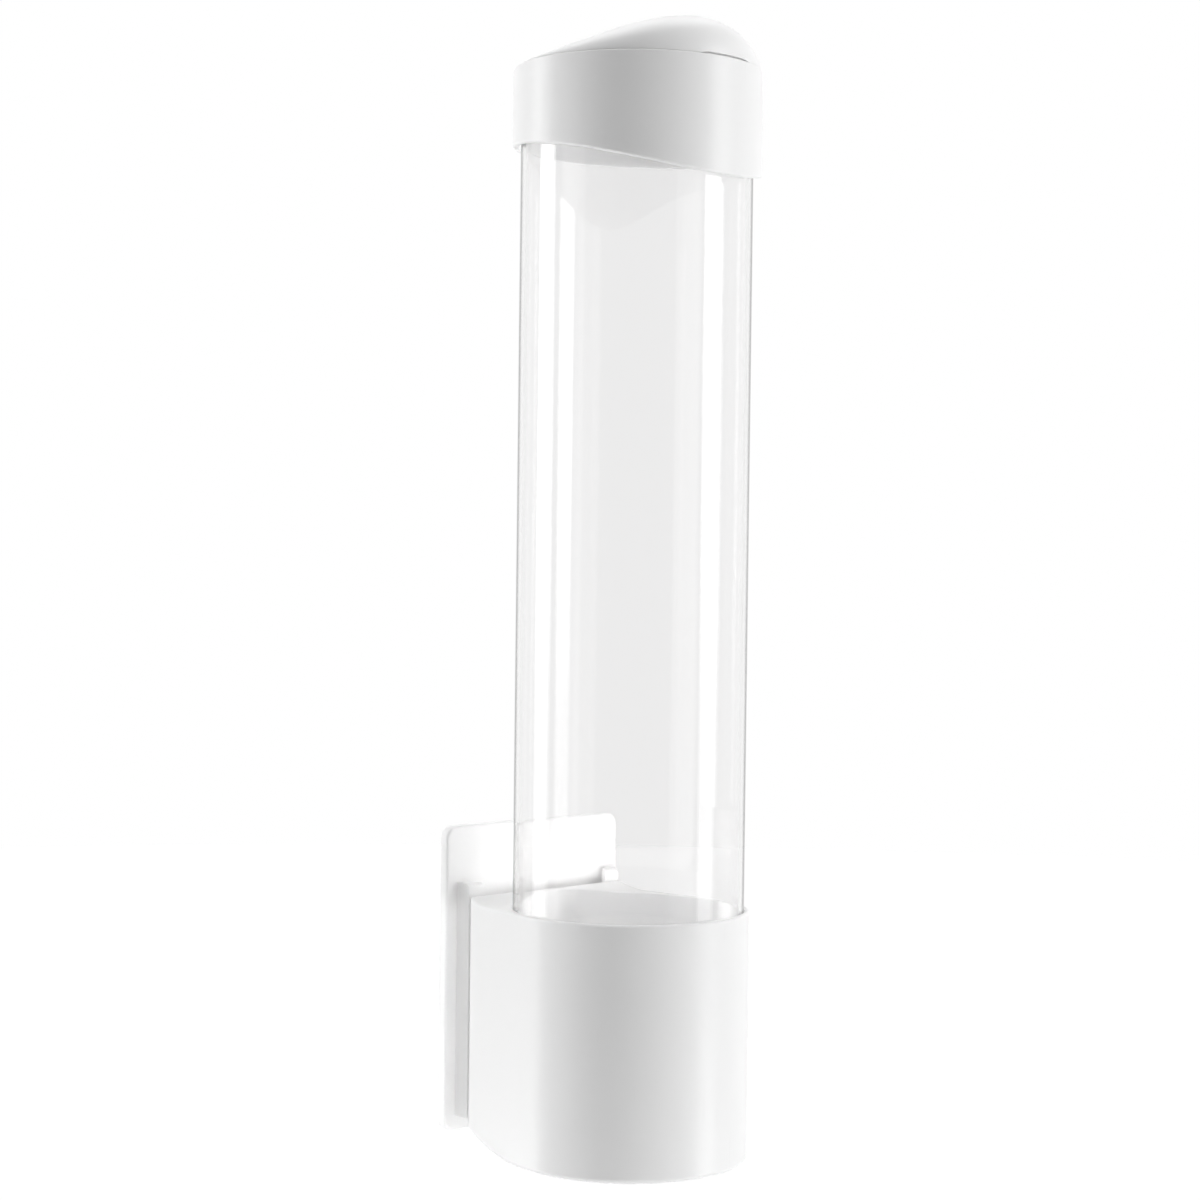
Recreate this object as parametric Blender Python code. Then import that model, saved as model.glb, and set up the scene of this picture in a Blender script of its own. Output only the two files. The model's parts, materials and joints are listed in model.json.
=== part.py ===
# Wall-hung cup dispenser: a clear tube for the stack, a base with sprung fingers, a cap with a
# flip-up lid, and a wall plate that the base slides onto. Metres, +Z up, front toward -Y.
# The origin is the centre of the wall plate's back face.

import math

import bmesh
import bpy
from mathutils import Matrix, Vector

# Clearances and cutting allowances
fit_gap = 0.0003             # between pieces that touch
parting_gap = 0.0004         # between the lid and the collar
cut_overrun = 0.0020         # how far a cutter runs past what it cuts
weld = 0.0008                # how far fused shapes run into each other
merge_distance = 0.000002    # turned points closer than this are one
smooth_below = math.radians(35.0)

# Clear tube
tube_outer_diameter = 0.0900
tube_wall = 0.0020
tube_length = 0.3383
tube_end_round = 0.0004

# Wall plate and its slide rails
plate_side_margin = 0.0051
plate_height = 0.1200
plate_thickness = 0.0038
plate_corner_radius = 0.0050
plate_edge_round = 0.0010
rail_wall = 0.0030
rail_lip_reach = 0.0050
rail_lip_thickness = 0.0024
rail_lead_round = 0.0021
rail_top_above_base = 0.0077
rail_bottom_above_plate_end = 0.0059
rail_stop_height = 0.0036
neck_depth = 0.0072
wall_screw_hole_diameter = 0.0045
wall_screw_head_diameter = 0.0085
wall_screw_head_depth = 0.0022
wall_screw_spread = 0.0480
wall_screw_upper_height = 0.0180
wall_screw_lower_depth = 0.0360

# Base housing
base_socket_wall = 0.0017
base_height = 0.0966
base_below_plate = 0.0065
base_rear_socket_wall = 0.0015
base_rear_narrowing = 0.0056
base_rear_corner_radius = 0.0026
base_least_corner_radius = 0.0004
base_wall = 0.0022
base_top_round = 0.0012
base_bottom_round = 0.0020
base_rear_top_rise = 0.0031
base_rear_top_run = 0.0160
base_rear_bottom_rise = 0.0085
base_rear_bottom_run = 0.0340
tube_socket_depth = 0.0200
ledge_reach = 0.0053
ledge_thickness = 0.0030

# Seat gasket
gasket_thickness = 0.0012
gasket_width = 0.0018

# Slider on the base's rear
slide_flange_thickness = 0.0039
slide_top_inset = 0.0060
slide_lead_round = 0.0012
back_screw_spread = 0.0360
back_screw_upper_drop = 0.0380
back_screw_lower_rise = 0.0246
back_screw_diameter = 0.0026
back_screw_head_diameter = 0.0052
back_screw_head_height = 0.0016
back_screw_bite = 0.0055
boss_diameter = 0.0068
boss_reach = 0.0042

# Shape of every screw, as shares of its own sizes
screw_point_share = 0.6
screw_head_side_share = 0.6
screw_head_top_share = 0.7

# Finger carrier ring and its screws
ring_width = 0.0052
ring_thickness = 0.0030
ring_screw_edge_distance = 0.0020
ring_screw_diameter = 0.0018
ring_screw_head_diameter = 0.0034
ring_screw_head_height = 0.0012
ring_screw_bite = 0.0024
cheek_thickness = 0.0020
cheek_width = 0.0038
cheek_drop = 0.0046

# Retaining fingers
finger_count = 4
finger_width = 0.0140
finger_thickness = 0.0014
finger_drop = 0.0130
finger_reach = 0.0056
finger_bar_radius = 0.0012
finger_tip_radius = 0.0011
finger_tip_inset = 0.0002
finger_pivot_below_ring = 0.0026
finger_curve_power = 1.6
finger_steps = 6

# Cap collar
collar_grip_wall = 0.0029
collar_wall = 0.0020
collar_back_height = 0.0292
collar_front_drop = 0.0146
collar_swoop_power = 2.15
collar_edge_round = 0.0009
collar_shoulder_thickness = 0.0024
collar_shoulder_reach = 0.0022
collar_rebate_depth = 0.0022
collar_rim_width = 0.0017
grip_band_height = 0.0140
grip_band_lead = 0.0012

# Domed lid
dome_edge_rise = 0.00127
dome_front_rise = 0.0359
dome_slope_power = 2.19
dome_round_power = 1.72
lid_plug_wall = 0.0015
lid_notch_height = 0.0016
lid_notch_half_angle = math.radians(17.0)
lid_notch_blend_angle = math.radians(6.0)

# Lid hinge
hinge_behind_cap = 0.0027
hinge_above_parting = 0.0005
hinge_barrel_radius = 0.0023
hinge_pin_radius = 0.0010
hinge_lid_knuckle_width = 0.0094
hinge_collar_knuckle_width = 0.0060
hinge_web_height = 0.0080
hinge_lid_web_height = 0.0016
hinge_lid_web_reach = 0.0060
hinge_web_root_share = 0.9
hinge_web_tip_share = 0.9

# Roundness of turned shapes, in segments
turned_segments = 64
hole_segments = 20
arc_segments = 32
corner_segments = 4
flank_steps = 5
round_segments = 3

# Places worked out from the sizes above
tube_outer_radius = tube_outer_diameter / 2
tube_inner_radius = tube_outer_radius - tube_wall
socket_radius = tube_outer_radius + fit_gap
base_outer_radius = socket_radius + base_socket_wall
base_rear_from_axis = socket_radius + base_rear_socket_wall
base_rear_half_width = base_outer_radius - base_rear_narrowing
cap_outer_radius = socket_radius + collar_grip_wall
plate_width = 2 * (base_rear_half_width + plate_side_margin)
wall_to_axis = plate_thickness + neck_depth + base_rear_from_axis
axis_y = -wall_to_axis
plate_front_y = -plate_thickness
base_rear_y = axis_y + base_rear_from_axis
base_bottom = -plate_height / 2 - base_below_plate
base_top = base_bottom + base_height
tube_bottom = base_top - tube_socket_depth
tube_top = tube_bottom + tube_length
gasket_bottom = tube_bottom - fit_gap - gasket_thickness
ledge_top = gasket_bottom - fit_gap
ledge_bottom = ledge_top - ledge_thickness
ring_top = ledge_bottom - fit_gap
ring_bottom = ring_top - ring_thickness
ledge_inner_radius = socket_radius - ledge_reach
ring_outer_radius = base_outer_radius - base_wall - fit_gap
ring_inner_radius = ring_outer_radius - ring_width
ring_screw_circle_radius = ring_outer_radius - ring_screw_edge_distance
cheek_start = finger_width / 2 + fit_gap
cheek_end = cheek_start + cheek_thickness
cheek_outer_radius = math.sqrt(ring_outer_radius ** 2 - cheek_end ** 2) - fit_gap
cheek_inner_radius = cheek_outer_radius - cheek_width
finger_pivot_radius = (cheek_outer_radius + cheek_inner_radius) / 2
shoulder_bottom = tube_top + fit_gap
rebate_floor = shoulder_bottom + collar_shoulder_thickness
collar_top = rebate_floor + collar_rebate_depth
lid_plane = collar_top + parting_gap
lid_plug_bottom = rebate_floor + fit_gap
hinge_y = axis_y + cap_outer_radius + hinge_behind_cap
hinge_z = lid_plane + hinge_above_parting
rail_outer_half_width = base_rear_half_width - fit_gap
rail_inner_half_width = rail_outer_half_width - rail_wall
rail_lip_half_width = rail_inner_half_width - rail_lip_reach
rail_front_y = base_rear_y + fit_gap
rail_lip_back_y = rail_front_y + rail_lip_thickness
rail_top = base_top + rail_top_above_base
rail_bottom = -plate_height / 2 + rail_bottom_above_plate_end
rail_stop_top = rail_bottom + rail_stop_height
slide_bottom = rail_stop_top + fit_gap
slide_top = base_top - slide_top_inset


# Scene and materials

def clear_scene():
    for item in list(bpy.data.objects):
        bpy.data.objects.remove(item)


def make_material(name, colour, roughness, transmission=0.0):
    material = bpy.data.materials.new(name)
    material.use_nodes = True
    shader = material.node_tree.nodes["Principled BSDF"]
    shader.inputs["Base Color"].default_value = (*colour, 1.0)
    shader.inputs["Roughness"].default_value = roughness
    shader.inputs["Metallic"].default_value = 0.0
    shader.inputs["Transmission Weight"].default_value = transmission
    return material


def make_metal(name, colour, roughness):
    material = make_material(name, colour, roughness)
    material.node_tree.nodes["Principled BSDF"].inputs["Metallic"].default_value = 1.0
    return material


# Shared modelling helpers

def make_object(name, bm, material, location=(0.0, 0.0, 0.0), turn=0.0):
    bmesh.ops.recalc_face_normals(bm, faces=bm.faces)
    mesh = bpy.data.meshes.new(name)
    bm.to_mesh(mesh)
    bm.free()
    mesh.shade_smooth()
    mesh.set_sharp_from_angle(angle=smooth_below)
    item = bpy.data.objects.new(name, mesh)
    bpy.context.scene.collection.objects.link(item)
    item.data.materials.append(material)
    item.location = location
    item.rotation_euler = (0.0, 0.0, turn)
    return item


def make_guide(name, bm, location=(0.0, 0.0, 0.0), turn=0.0):
    guide = make_object(name, bm, guide_material, location, turn)
    guide.hide_render = True
    guide.display_type = "WIRE"
    return guide


def combine(target, tool, operation):
    boolean = target.modifiers.new(tool.name, "BOOLEAN")
    boolean.operation = operation
    boolean.solver = "EXACT"
    boolean.object = tool


def add_box(bm, low, high):
    size = [b - a for a, b in zip(low, high)]
    middle = [(a + b) / 2 for a, b in zip(low, high)]
    matrix = Matrix.Translation(middle) @ Matrix.Diagonal((*size, 1.0))
    return bmesh.ops.create_cube(bm, size=1.0, matrix=matrix)["verts"]


def add_cylinder(bm, radius, start, end, segments, end_radius=None):
    start, end = Vector(start), Vector(end)
    direction = end - start
    turn = direction.to_track_quat("Z", "Y").to_matrix().to_4x4()
    matrix = Matrix.Translation((start + end) / 2) @ turn
    bmesh.ops.create_cone(bm, cap_ends=True, segments=segments, radius1=radius,
                          radius2=radius if end_radius is None else end_radius,
                          depth=direction.length, matrix=matrix)


def spin_profile(profile, segments, centre=(0.0, 0.0)):
    # A closed outline of (radius, height) points turned about a vertical axis
    bm = bmesh.new()
    verts = [bm.verts.new((0.0, -radius, height)) for radius, height in profile]
    edges = [bm.edges.new((verts[i - 1], verts[i])) for i in range(len(verts))]
    bmesh.ops.spin(bm, geom=verts + edges, cent=(0.0, 0.0, 0.0), axis=(0.0, 0.0, 1.0),
                   angle=math.tau, steps=segments, use_merge=True)
    bmesh.ops.translate(bm, verts=bm.verts, vec=(centre[0], centre[1], 0.0))
    return bm


def add_turned(bm, profile, segments, seat, direction):
    # A solid turned from (radius, height) points, both ends on its axis, set down along a direction
    known = set(bm.verts)
    verts = [bm.verts.new((radius, 0.0, height)) for radius, height in profile]
    edges = [bm.edges.new((a, b)) for a, b in zip(verts, verts[1:])]
    bmesh.ops.spin(bm, geom=verts + edges, cent=(0.0, 0.0, 0.0), axis=(0.0, 0.0, 1.0),
                   angle=math.tau, steps=segments, use_merge=True)
    added = [vert for vert in bm.verts if vert not in known]
    bmesh.ops.remove_doubles(bm, verts=added, dist=merge_distance)
    added = [vert for vert in bm.verts if vert not in known]
    turn = Vector(direction).to_track_quat("Z", "Y").to_matrix().to_4x4()
    bmesh.ops.transform(bm, matrix=Matrix.Translation(seat) @ turn, verts=added)


def add_extrusion(bm, outline, direction):
    # A flat outline of 3-D points pushed along a direction
    face = bm.faces.new([bm.verts.new(point) for point in outline])
    moved = bmesh.ops.extrude_face_region(bm, geom=[face])["geom"]
    lifted = [element for element in moved if isinstance(element, bmesh.types.BMVert)]
    bmesh.ops.translate(bm, verts=lifted, vec=direction)


def extrude_outline(outline, direction):
    bm = bmesh.new()
    add_extrusion(bm, outline, direction)
    return bm


def bevel_edges(bm, edges, offset, segments):
    bmesh.ops.bevel(bm, geom=edges, offset=offset, offset_type="OFFSET", segments=segments,
                    profile=0.5, affect="EDGES", clamp_overlap=True, material=-1)


def edges_where(bm, test):
    return [edge for edge in bm.edges if all(test(vert.co) for vert in edge.verts)]


def front_share(x, y):
    # Where a point lies from back to front of the cap: -1 at the back, +1 at the front
    return (axis_y - y) / cap_outer_radius


# Wall plate

def rail_outline(side):
    outer = side * rail_outer_half_width
    inner = side * rail_inner_half_width
    lip = side * rail_lip_half_width
    root_y = plate_front_y + weld
    return [(outer, root_y), (outer, rail_front_y), (lip, rail_front_y), (lip, rail_lip_back_y),
            (inner, rail_lip_back_y), (inner, root_y)]


def make_wall_plate():
    half_width, half_height = plate_width / 2, plate_height / 2
    bm = bmesh.new()
    add_box(bm, (-half_width, plate_front_y, -half_height), (half_width, 0.0, half_height))
    corners = [edge for edge in bm.edges
               if abs(edge.verts[0].co.y - edge.verts[1].co.y) > plate_thickness / 2]
    bevel_edges(bm, corners, plate_corner_radius, corner_segments)
    rim = edges_where(bm, lambda co: co.y < plate_front_y / 2)
    bevel_edges(bm, rim, plate_edge_round, 2)
    plate = make_object("wall_plate", bm, white_satin)

    for side, label in ((-1, "left"), (1, "right")):
        outline = [(x, y, rail_bottom) for x, y in rail_outline(side)]
        bm = extrude_outline(outline, (0.0, 0.0, rail_top - rail_bottom))
        lead = edges_where(bm, lambda co: co.z > rail_bottom + fit_gap and co.y < rail_front_y + fit_gap)
        bevel_edges(bm, lead, rail_lead_round, corner_segments)
        combine(plate, make_guide(f"rail_{label}", bm), "UNION")

    bm = bmesh.new()
    add_box(bm, (-rail_inner_half_width - weld, rail_lip_back_y, rail_bottom + fit_gap),
            (rail_inner_half_width + weld, plate_front_y + weld, rail_stop_top))
    combine(plate, make_guide("rail_stop", bm), "UNION")

    hole_radius, head_radius = wall_screw_hole_diameter / 2, wall_screw_head_diameter / 2
    flare = (head_radius - hole_radius) / wall_screw_head_depth
    head_floor = plate_thickness - wall_screw_head_depth
    profile = [(0.0, -cut_overrun), (hole_radius, -cut_overrun), (hole_radius, head_floor),
               (head_radius + flare * cut_overrun, plate_thickness + cut_overrun),
               (0.0, plate_thickness + cut_overrun)]
    bm = bmesh.new()
    for x in (-wall_screw_spread / 2, wall_screw_spread / 2):
        for z in (wall_screw_upper_height, -wall_screw_lower_depth):
            add_turned(bm, profile, hole_segments, (x, 0.0, z), (0.0, -1.0, 0.0))
    combine(plate, make_guide("wall_screw_hole_cutter", bm), "DIFFERENCE")


# Base housing

def flank_angle():
    # The turn of each flank that makes it tangent to the front arc and end at the rear corner
    distance = math.hypot(base_rear_from_axis, base_rear_half_width)
    to_centre = math.atan2(base_rear_half_width, base_rear_from_axis)
    return math.asin(base_outer_radius / distance) - to_centre


def base_outline(inset):
    # U-shaped plan seen from above as (side, forward) points from the rear left round the front
    angle = flank_angle()
    radius = base_outer_radius - inset
    corner_radius = max(base_rear_corner_radius - inset, base_least_corner_radius)
    rear = -base_rear_from_axis + inset
    corner_forward = rear + corner_radius
    drop = (math.sin(angle) * corner_forward + radius - corner_radius) / math.cos(angle)
    half = []
    for step in range(corner_segments + 1):
        turn = math.pi - (math.pi / 2 - angle) * step / corner_segments
        half.append((drop + corner_radius * math.sin(turn), corner_forward + corner_radius * math.cos(turn)))
    flank_end = (radius * math.cos(angle), -radius * math.sin(angle))
    flank_start = half[-1]
    for step in range(1, flank_steps):
        share = step / flank_steps
        half.append(tuple(a + (b - a) * share for a, b in zip(flank_start, flank_end)))
    sweep = math.pi / 2 + angle
    for step in range(arc_segments // 2 + 1):
        turn = sweep * (1 - step / (arc_segments // 2))
        half.append((radius * math.sin(turn), radius * math.cos(turn)))
    mirrored = [(-side, forward) for side, forward in reversed(half[:-1])]
    return half + mirrored


def top_rise(forward):
    share = max(0.0, base_rear_top_run - base_rear_from_axis - forward) / base_rear_top_run
    return base_rear_top_rise * share ** 2


def bottom_rise(forward):
    share = max(0.0, base_rear_bottom_run - base_rear_from_axis - forward) / base_rear_bottom_run
    return base_rear_bottom_rise * share ** 2


def base_ring(bm, inset, height, rise):
    outer = base_outline(0.0)
    inner = base_outline(inset)
    ring = []
    for (side, forward), (_, outer_forward) in zip(inner, outer):
        ring.append(bm.verts.new((side, axis_y - forward, height + rise(outer_forward))))
    return ring


def make_base_housing():
    bm = bmesh.new()
    rings = []
    for step in range(round_segments + 1):
        turn = math.pi / 2 * step / round_segments
        inset = base_bottom_round * (1 - math.sin(turn))
        height = base_bottom + base_bottom_round * (1 - math.cos(turn))
        rings.append(base_ring(bm, inset, height, bottom_rise))
    for step in range(round_segments + 1):
        turn = math.pi / 2 * step / round_segments
        inset = base_top_round * (1 - math.cos(turn))
        height = base_top - base_top_round * (1 - math.sin(turn))
        rings.append(base_ring(bm, inset, height, top_rise))
    count = len(rings[0])
    for lower, upper in zip(rings, rings[1:]):
        for i in range(count):
            bm.faces.new((lower[i - 1], lower[i], upper[i], upper[i - 1]))
    # Each end is closed by strips from side to side, so its slope shows only from back to front
    for ring in (rings[0], rings[-1]):
        for i in range(count // 2 - 1):
            bm.faces.new((ring[i], ring[i + 1], ring[count - 2 - i], ring[count - 1 - i]))
        middle = count // 2
        bm.faces.new((ring[middle - 1], ring[middle], ring[middle + 1]))
    housing = make_object("base_housing", bm, white_gloss)

    cavity = [(side, axis_y - forward, base_bottom - cut_overrun) for side, forward in base_outline(base_wall)]
    bm = extrude_outline(cavity, (0.0, 0.0, ledge_bottom - base_bottom + cut_overrun))
    combine(housing, make_guide("base_cavity_cutter", bm), "DIFFERENCE")

    above = base_top + base_rear_top_rise + cut_overrun
    bm = bmesh.new()
    add_cylinder(bm, socket_radius, (0.0, axis_y, ledge_top), (0.0, axis_y, above), turned_segments)
    combine(housing, make_guide("tube_socket_cutter", bm), "DIFFERENCE")
    bm = bmesh.new()
    add_cylinder(bm, ledge_inner_radius, (0.0, axis_y, ledge_bottom - cut_overrun),
                 (0.0, axis_y, ledge_top + cut_overrun), turned_segments)
    combine(housing, make_guide("cup_way_cutter", bm), "DIFFERENCE")

    inner_rear_y = base_rear_y - base_wall
    bm = bmesh.new()
    for x, z in back_screw_places():
        add_cylinder(bm, boss_diameter / 2, (x, inner_rear_y + weld, z),
                     (x, inner_rear_y - boss_reach, z), hole_segments)
    combine(housing, make_guide("back_screw_bosses", bm), "UNION")

    bm = bmesh.new()
    for x, z in back_screw_places():
        add_cylinder(bm, back_screw_diameter / 2 + fit_gap, (x, base_rear_y + cut_overrun, z),
                     (x, base_rear_y - back_screw_bite - fit_gap, z), hole_segments)
    for x, y in ring_screw_places():
        add_cylinder(bm, ring_screw_diameter / 2 + fit_gap, (x, y, ledge_bottom - cut_overrun),
                     (x, y, ledge_top + cut_overrun), hole_segments)
    combine(housing, make_guide("base_screw_hole_cutter", bm), "DIFFERENCE")


# Slider on the base's rear, with its screws

def back_screw_places():
    upper, lower = base_top - back_screw_upper_drop, base_bottom + back_screw_lower_rise
    half = back_screw_spread / 2
    return [(-half, upper), (half, upper), (-half, lower), (half, lower)]


def make_back_slide():
    stem_half = rail_lip_half_width - fit_gap
    flange_half = rail_inner_half_width - fit_gap
    stem_front_y = base_rear_y + fit_gap
    flange_front_y = rail_lip_back_y + fit_gap
    flange_back_y = flange_front_y + slide_flange_thickness
    outline = [(-stem_half, stem_front_y), (stem_half, stem_front_y), (stem_half, flange_front_y),
               (flange_half, flange_front_y), (flange_half, flange_back_y), (-flange_half, flange_back_y),
               (-flange_half, flange_front_y), (-stem_half, flange_front_y)]
    bm = extrude_outline([(x, y, slide_bottom) for x, y in outline], (0.0, 0.0, slide_top - slide_bottom))
    lead = edges_where(bm, lambda co: co.z < slide_bottom + fit_gap and co.y > flange_back_y - fit_gap)
    bevel_edges(bm, lead, slide_lead_round, 2)
    slide = make_object("back_slide", bm, white_satin)
    recess = back_screw_head_height + 2 * fit_gap
    depth = flange_back_y - stem_front_y
    hole_radius = back_screw_diameter / 2 + fit_gap
    head_radius = back_screw_head_diameter / 2 + fit_gap
    profile = [(0.0, -cut_overrun), (hole_radius, -cut_overrun), (hole_radius, depth - recess),
               (head_radius, depth - recess), (head_radius, depth + cut_overrun), (0.0, depth + cut_overrun)]
    bm = bmesh.new()
    for x, z in back_screw_places():
        add_turned(bm, profile, hole_segments, (x, stem_front_y, z), (0.0, 1.0, 0.0))
    combine(slide, make_guide("slide_screw_hole_cutter", bm), "DIFFERENCE")
    seat_y = flange_back_y - recess + fit_gap
    shank_length = seat_y - base_rear_y + back_screw_bite
    for number, (x, z) in enumerate(back_screw_places(), 1):
        make_screw(f"back_screw_{number}", back_screw_diameter / 2, back_screw_head_diameter / 2,
                   back_screw_head_height, shank_length, (x, seat_y, z), (0.0, 1.0, 0.0))


def make_screw(name, shank_radius, head_radius, head_height, shank_length, seat, outward):
    # A turned pan-head screw, the underside of its head at the seat and its head pointing outward
    profile = [(0.0, -shank_length), (shank_radius * screw_point_share, -shank_length),
               (shank_radius, -shank_length + shank_radius), (shank_radius, 0.0), (head_radius, 0.0),
               (head_radius, head_height * screw_head_side_share),
               (head_radius * screw_head_top_share, head_height), (0.0, head_height)]
    bm = bmesh.new()
    add_turned(bm, profile, hole_segments, seat, outward)
    make_object(name, bm, screw_steel)


# Finger carrier ring, its screws and the fingers

def station_angles(offset):
    return [offset + math.tau * index / finger_count for index in range(finger_count)]


def ring_screw_places():
    return [(ring_screw_circle_radius * math.cos(turn), axis_y + ring_screw_circle_radius * math.sin(turn))
            for turn in station_angles(0.0)]


def add_radial_box(bm, radius_low, radius_high, side_low, side_high, low, high, turn):
    verts = add_box(bm, (radius_low, side_low, low), (radius_high, side_high, high))
    matrix = Matrix.Translation((0.0, axis_y, 0.0)) @ Matrix.Rotation(turn, 4, "Z")
    bmesh.ops.transform(bm, matrix=matrix, verts=verts)


def make_finger_ring():
    profile = [(ring_inner_radius, ring_bottom), (ring_outer_radius, ring_bottom),
               (ring_outer_radius, ring_top), (ring_inner_radius, ring_top)]
    ring = make_object("finger_ring", spin_profile(profile, turned_segments, (0.0, axis_y)), white_satin)

    bm = bmesh.new()
    for turn in station_angles(math.pi / 4):
        for side in (-1, 1):
            near, far = side * cheek_start, side * cheek_end
            add_radial_box(bm, cheek_inner_radius, cheek_outer_radius, min(near, far), max(near, far),
                           ring_bottom - cheek_drop, ring_bottom + weld, turn)
    combine(ring, make_guide("finger_cheeks", bm), "UNION")

    pivot_z = ring_bottom - finger_pivot_below_ring
    bar_half = cheek_end + cut_overrun
    bm = bmesh.new()
    for turn in station_angles(math.pi / 4):
        middle = Vector((finger_pivot_radius * math.cos(turn), axis_y + finger_pivot_radius * math.sin(turn), pivot_z))
        along = Vector((-math.sin(turn), math.cos(turn), 0.0)) * bar_half
        add_cylinder(bm, finger_bar_radius + fit_gap, middle - along, middle + along, hole_segments)
    for x, y in ring_screw_places():
        add_cylinder(bm, ring_screw_diameter / 2 + fit_gap, (x, y, ring_bottom - cut_overrun),
                     (x, y, ring_top + cut_overrun), hole_segments)
    combine(ring, make_guide("finger_ring_hole_cutter", bm), "DIFFERENCE")

    seat_z = ring_bottom - fit_gap
    shank_length = ledge_bottom + ring_screw_bite - seat_z
    for number, (x, y) in enumerate(ring_screw_places(), 1):
        make_screw(f"ring_screw_{number}", ring_screw_diameter / 2, ring_screw_head_diameter / 2,
                   ring_screw_head_height, shank_length, (x, y, seat_z), (0.0, 0.0, -1.0))


def finger_centre(share):
    # A point of the bent strip's middle line about its pivot, as (outward, up)
    return Vector((-finger_reach * share ** finger_curve_power, -finger_drop * share))


def finger_outline():
    outward_side, inward_side = [], []
    for step in range(finger_steps + 1):
        before = finger_centre(max(step - 1, 0) / finger_steps)
        after = finger_centre(min(step + 1, finger_steps) / finger_steps)
        slope = (after - before).normalized()
        across = Vector((-slope.y, slope.x)) * finger_thickness / 2
        outward_side.append(finger_centre(step / finger_steps) + across)
        inward_side.append(finger_centre(step / finger_steps) - across)
    return inward_side + outward_side[::-1]


def make_fingers():
    pivot_z = ring_bottom - finger_pivot_below_ring
    half = finger_width / 2
    tip = finger_centre(1.0)
    for number, turn in enumerate(station_angles(math.pi / 4), 1):
        place = (finger_pivot_radius * math.cos(turn), axis_y + finger_pivot_radius * math.sin(turn), pivot_z)
        outline = [(point.x, -half, point.y) for point in finger_outline()]
        bm = extrude_outline(outline, (0.0, finger_width, 0.0))
        finger = make_object(f"cup_finger_{number}", bm, finger_plastic, place, turn)
        bm = bmesh.new()
        add_cylinder(bm, finger_bar_radius, (0.0, -cheek_end, 0.0), (0.0, cheek_end, 0.0), hole_segments)
        add_cylinder(bm, finger_tip_radius, (tip.x, -half + finger_tip_inset, tip.y),
                     (tip.x, half - finger_tip_inset, tip.y), hole_segments)
        combine(finger, make_guide(f"finger_bar_{number}", bm, place, turn), "UNION")


# Tube and gasket

def make_tube():
    profile = []
    corners = [(tube_inner_radius, tube_bottom, 1, 1), (tube_outer_radius, tube_bottom, -1, 1),
               (tube_outer_radius, tube_top, -1, -1), (tube_inner_radius, tube_top, 1, -1)]
    for radius, height, inward, upward in corners:
        across = (radius + inward * tube_end_round, height)
        along = (radius, height + upward * tube_end_round)
        profile += [along, across] if inward * upward > 0 else [across, along]
    make_object("clear_tube", spin_profile(profile, turned_segments, (0.0, axis_y)), clear_plastic)


def make_gasket():
    inner = tube_outer_radius - gasket_width
    profile = [(inner, gasket_bottom), (tube_outer_radius, gasket_bottom),
               (tube_outer_radius, gasket_bottom + gasket_thickness), (inner, gasket_bottom + gasket_thickness)]
    make_object("tube_gasket", spin_profile(profile, turned_segments, (0.0, axis_y)), grey_rubber)


# Cap collar

def collar_edge_height(forward_share):
    share = max(0.0, 1 + forward_share) / 2
    return collar_top - collar_back_height - collar_front_drop * share ** collar_swoop_power


def make_collar():
    outer = cap_outer_radius
    inner = outer - collar_wall
    grip = tube_outer_radius + fit_gap
    way = tube_outer_radius - collar_shoulder_reach
    rebate = outer - collar_rim_width
    edge = collar_edge_height(1.0)
    edge_round = collar_edge_round
    small = edge_round * (1 - math.sqrt(0.5))
    profile = [(inner, edge), (outer - edge_round, edge), (outer - small, edge + small),
               (outer, edge + edge_round), (outer, collar_top - edge_round),
               (outer - small, collar_top - small), (outer - edge_round, collar_top),
               (rebate, collar_top), (rebate, rebate_floor), (way, rebate_floor), (way, shoulder_bottom),
               (grip, shoulder_bottom), (grip, shoulder_bottom - grip_band_height),
               (inner, shoulder_bottom - grip_band_height - grip_band_lead)]
    bm = spin_profile(profile, turned_segments, (0.0, axis_y))
    # The lower edge swoops: its points follow the height that their side of the cap asks for
    for vert in bm.verts:
        if vert.co.z < edge + 2 * edge_round:
            radius = math.hypot(vert.co.x, vert.co.y - axis_y)
            forward_share = (axis_y - vert.co.y) / radius
            vert.co.z += collar_edge_height(forward_share) - edge
    collar = make_object("cap_collar", bm, white_gloss)

    inner_end = hinge_lid_knuckle_width / 2 + fit_gap
    outer_end = inner_end + hinge_collar_knuckle_width
    bm = bmesh.new()
    for side in (-1, 1):
        add_cylinder(bm, hinge_barrel_radius, (side * inner_end, hinge_y, hinge_z),
                     (side * outer_end, hinge_y, hinge_z), hole_segments)
    combine(collar, make_guide("collar_knuckles", bm), "UNION")
    bm = bmesh.new()
    root_y = axis_y + outer - collar_wall * hinge_web_root_share
    tip_y = hinge_y + hinge_barrel_radius * hinge_web_tip_share
    for side in (-1, 1):
        low, high = sorted((side * inner_end, side * outer_end))
        outline = [(low, root_y, collar_top - weld), (low, tip_y, collar_top - weld),
                   (low, root_y, collar_top - hinge_web_height)]
        add_extrusion(bm, outline, (high - low, 0.0, 0.0))
    combine(collar, make_guide("collar_hinge_webs", bm), "UNION")
    bm = bmesh.new()
    bore_end = outer_end + cut_overrun
    add_cylinder(bm, hinge_pin_radius + fit_gap, (-bore_end, hinge_y, hinge_z), (bore_end, hinge_y, hinge_z),
                 hole_segments)
    combine(collar, make_guide("collar_pin_bore_cutter", bm), "DIFFERENCE")

    pin_half = outer_end + fit_gap
    bm = bmesh.new()
    add_cylinder(bm, hinge_pin_radius, (-pin_half, hinge_y, hinge_z), (pin_half, hinge_y, hinge_z), hole_segments)
    make_object("lid_hinge_pin", bm, screw_steel)


# Domed lid

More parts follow.
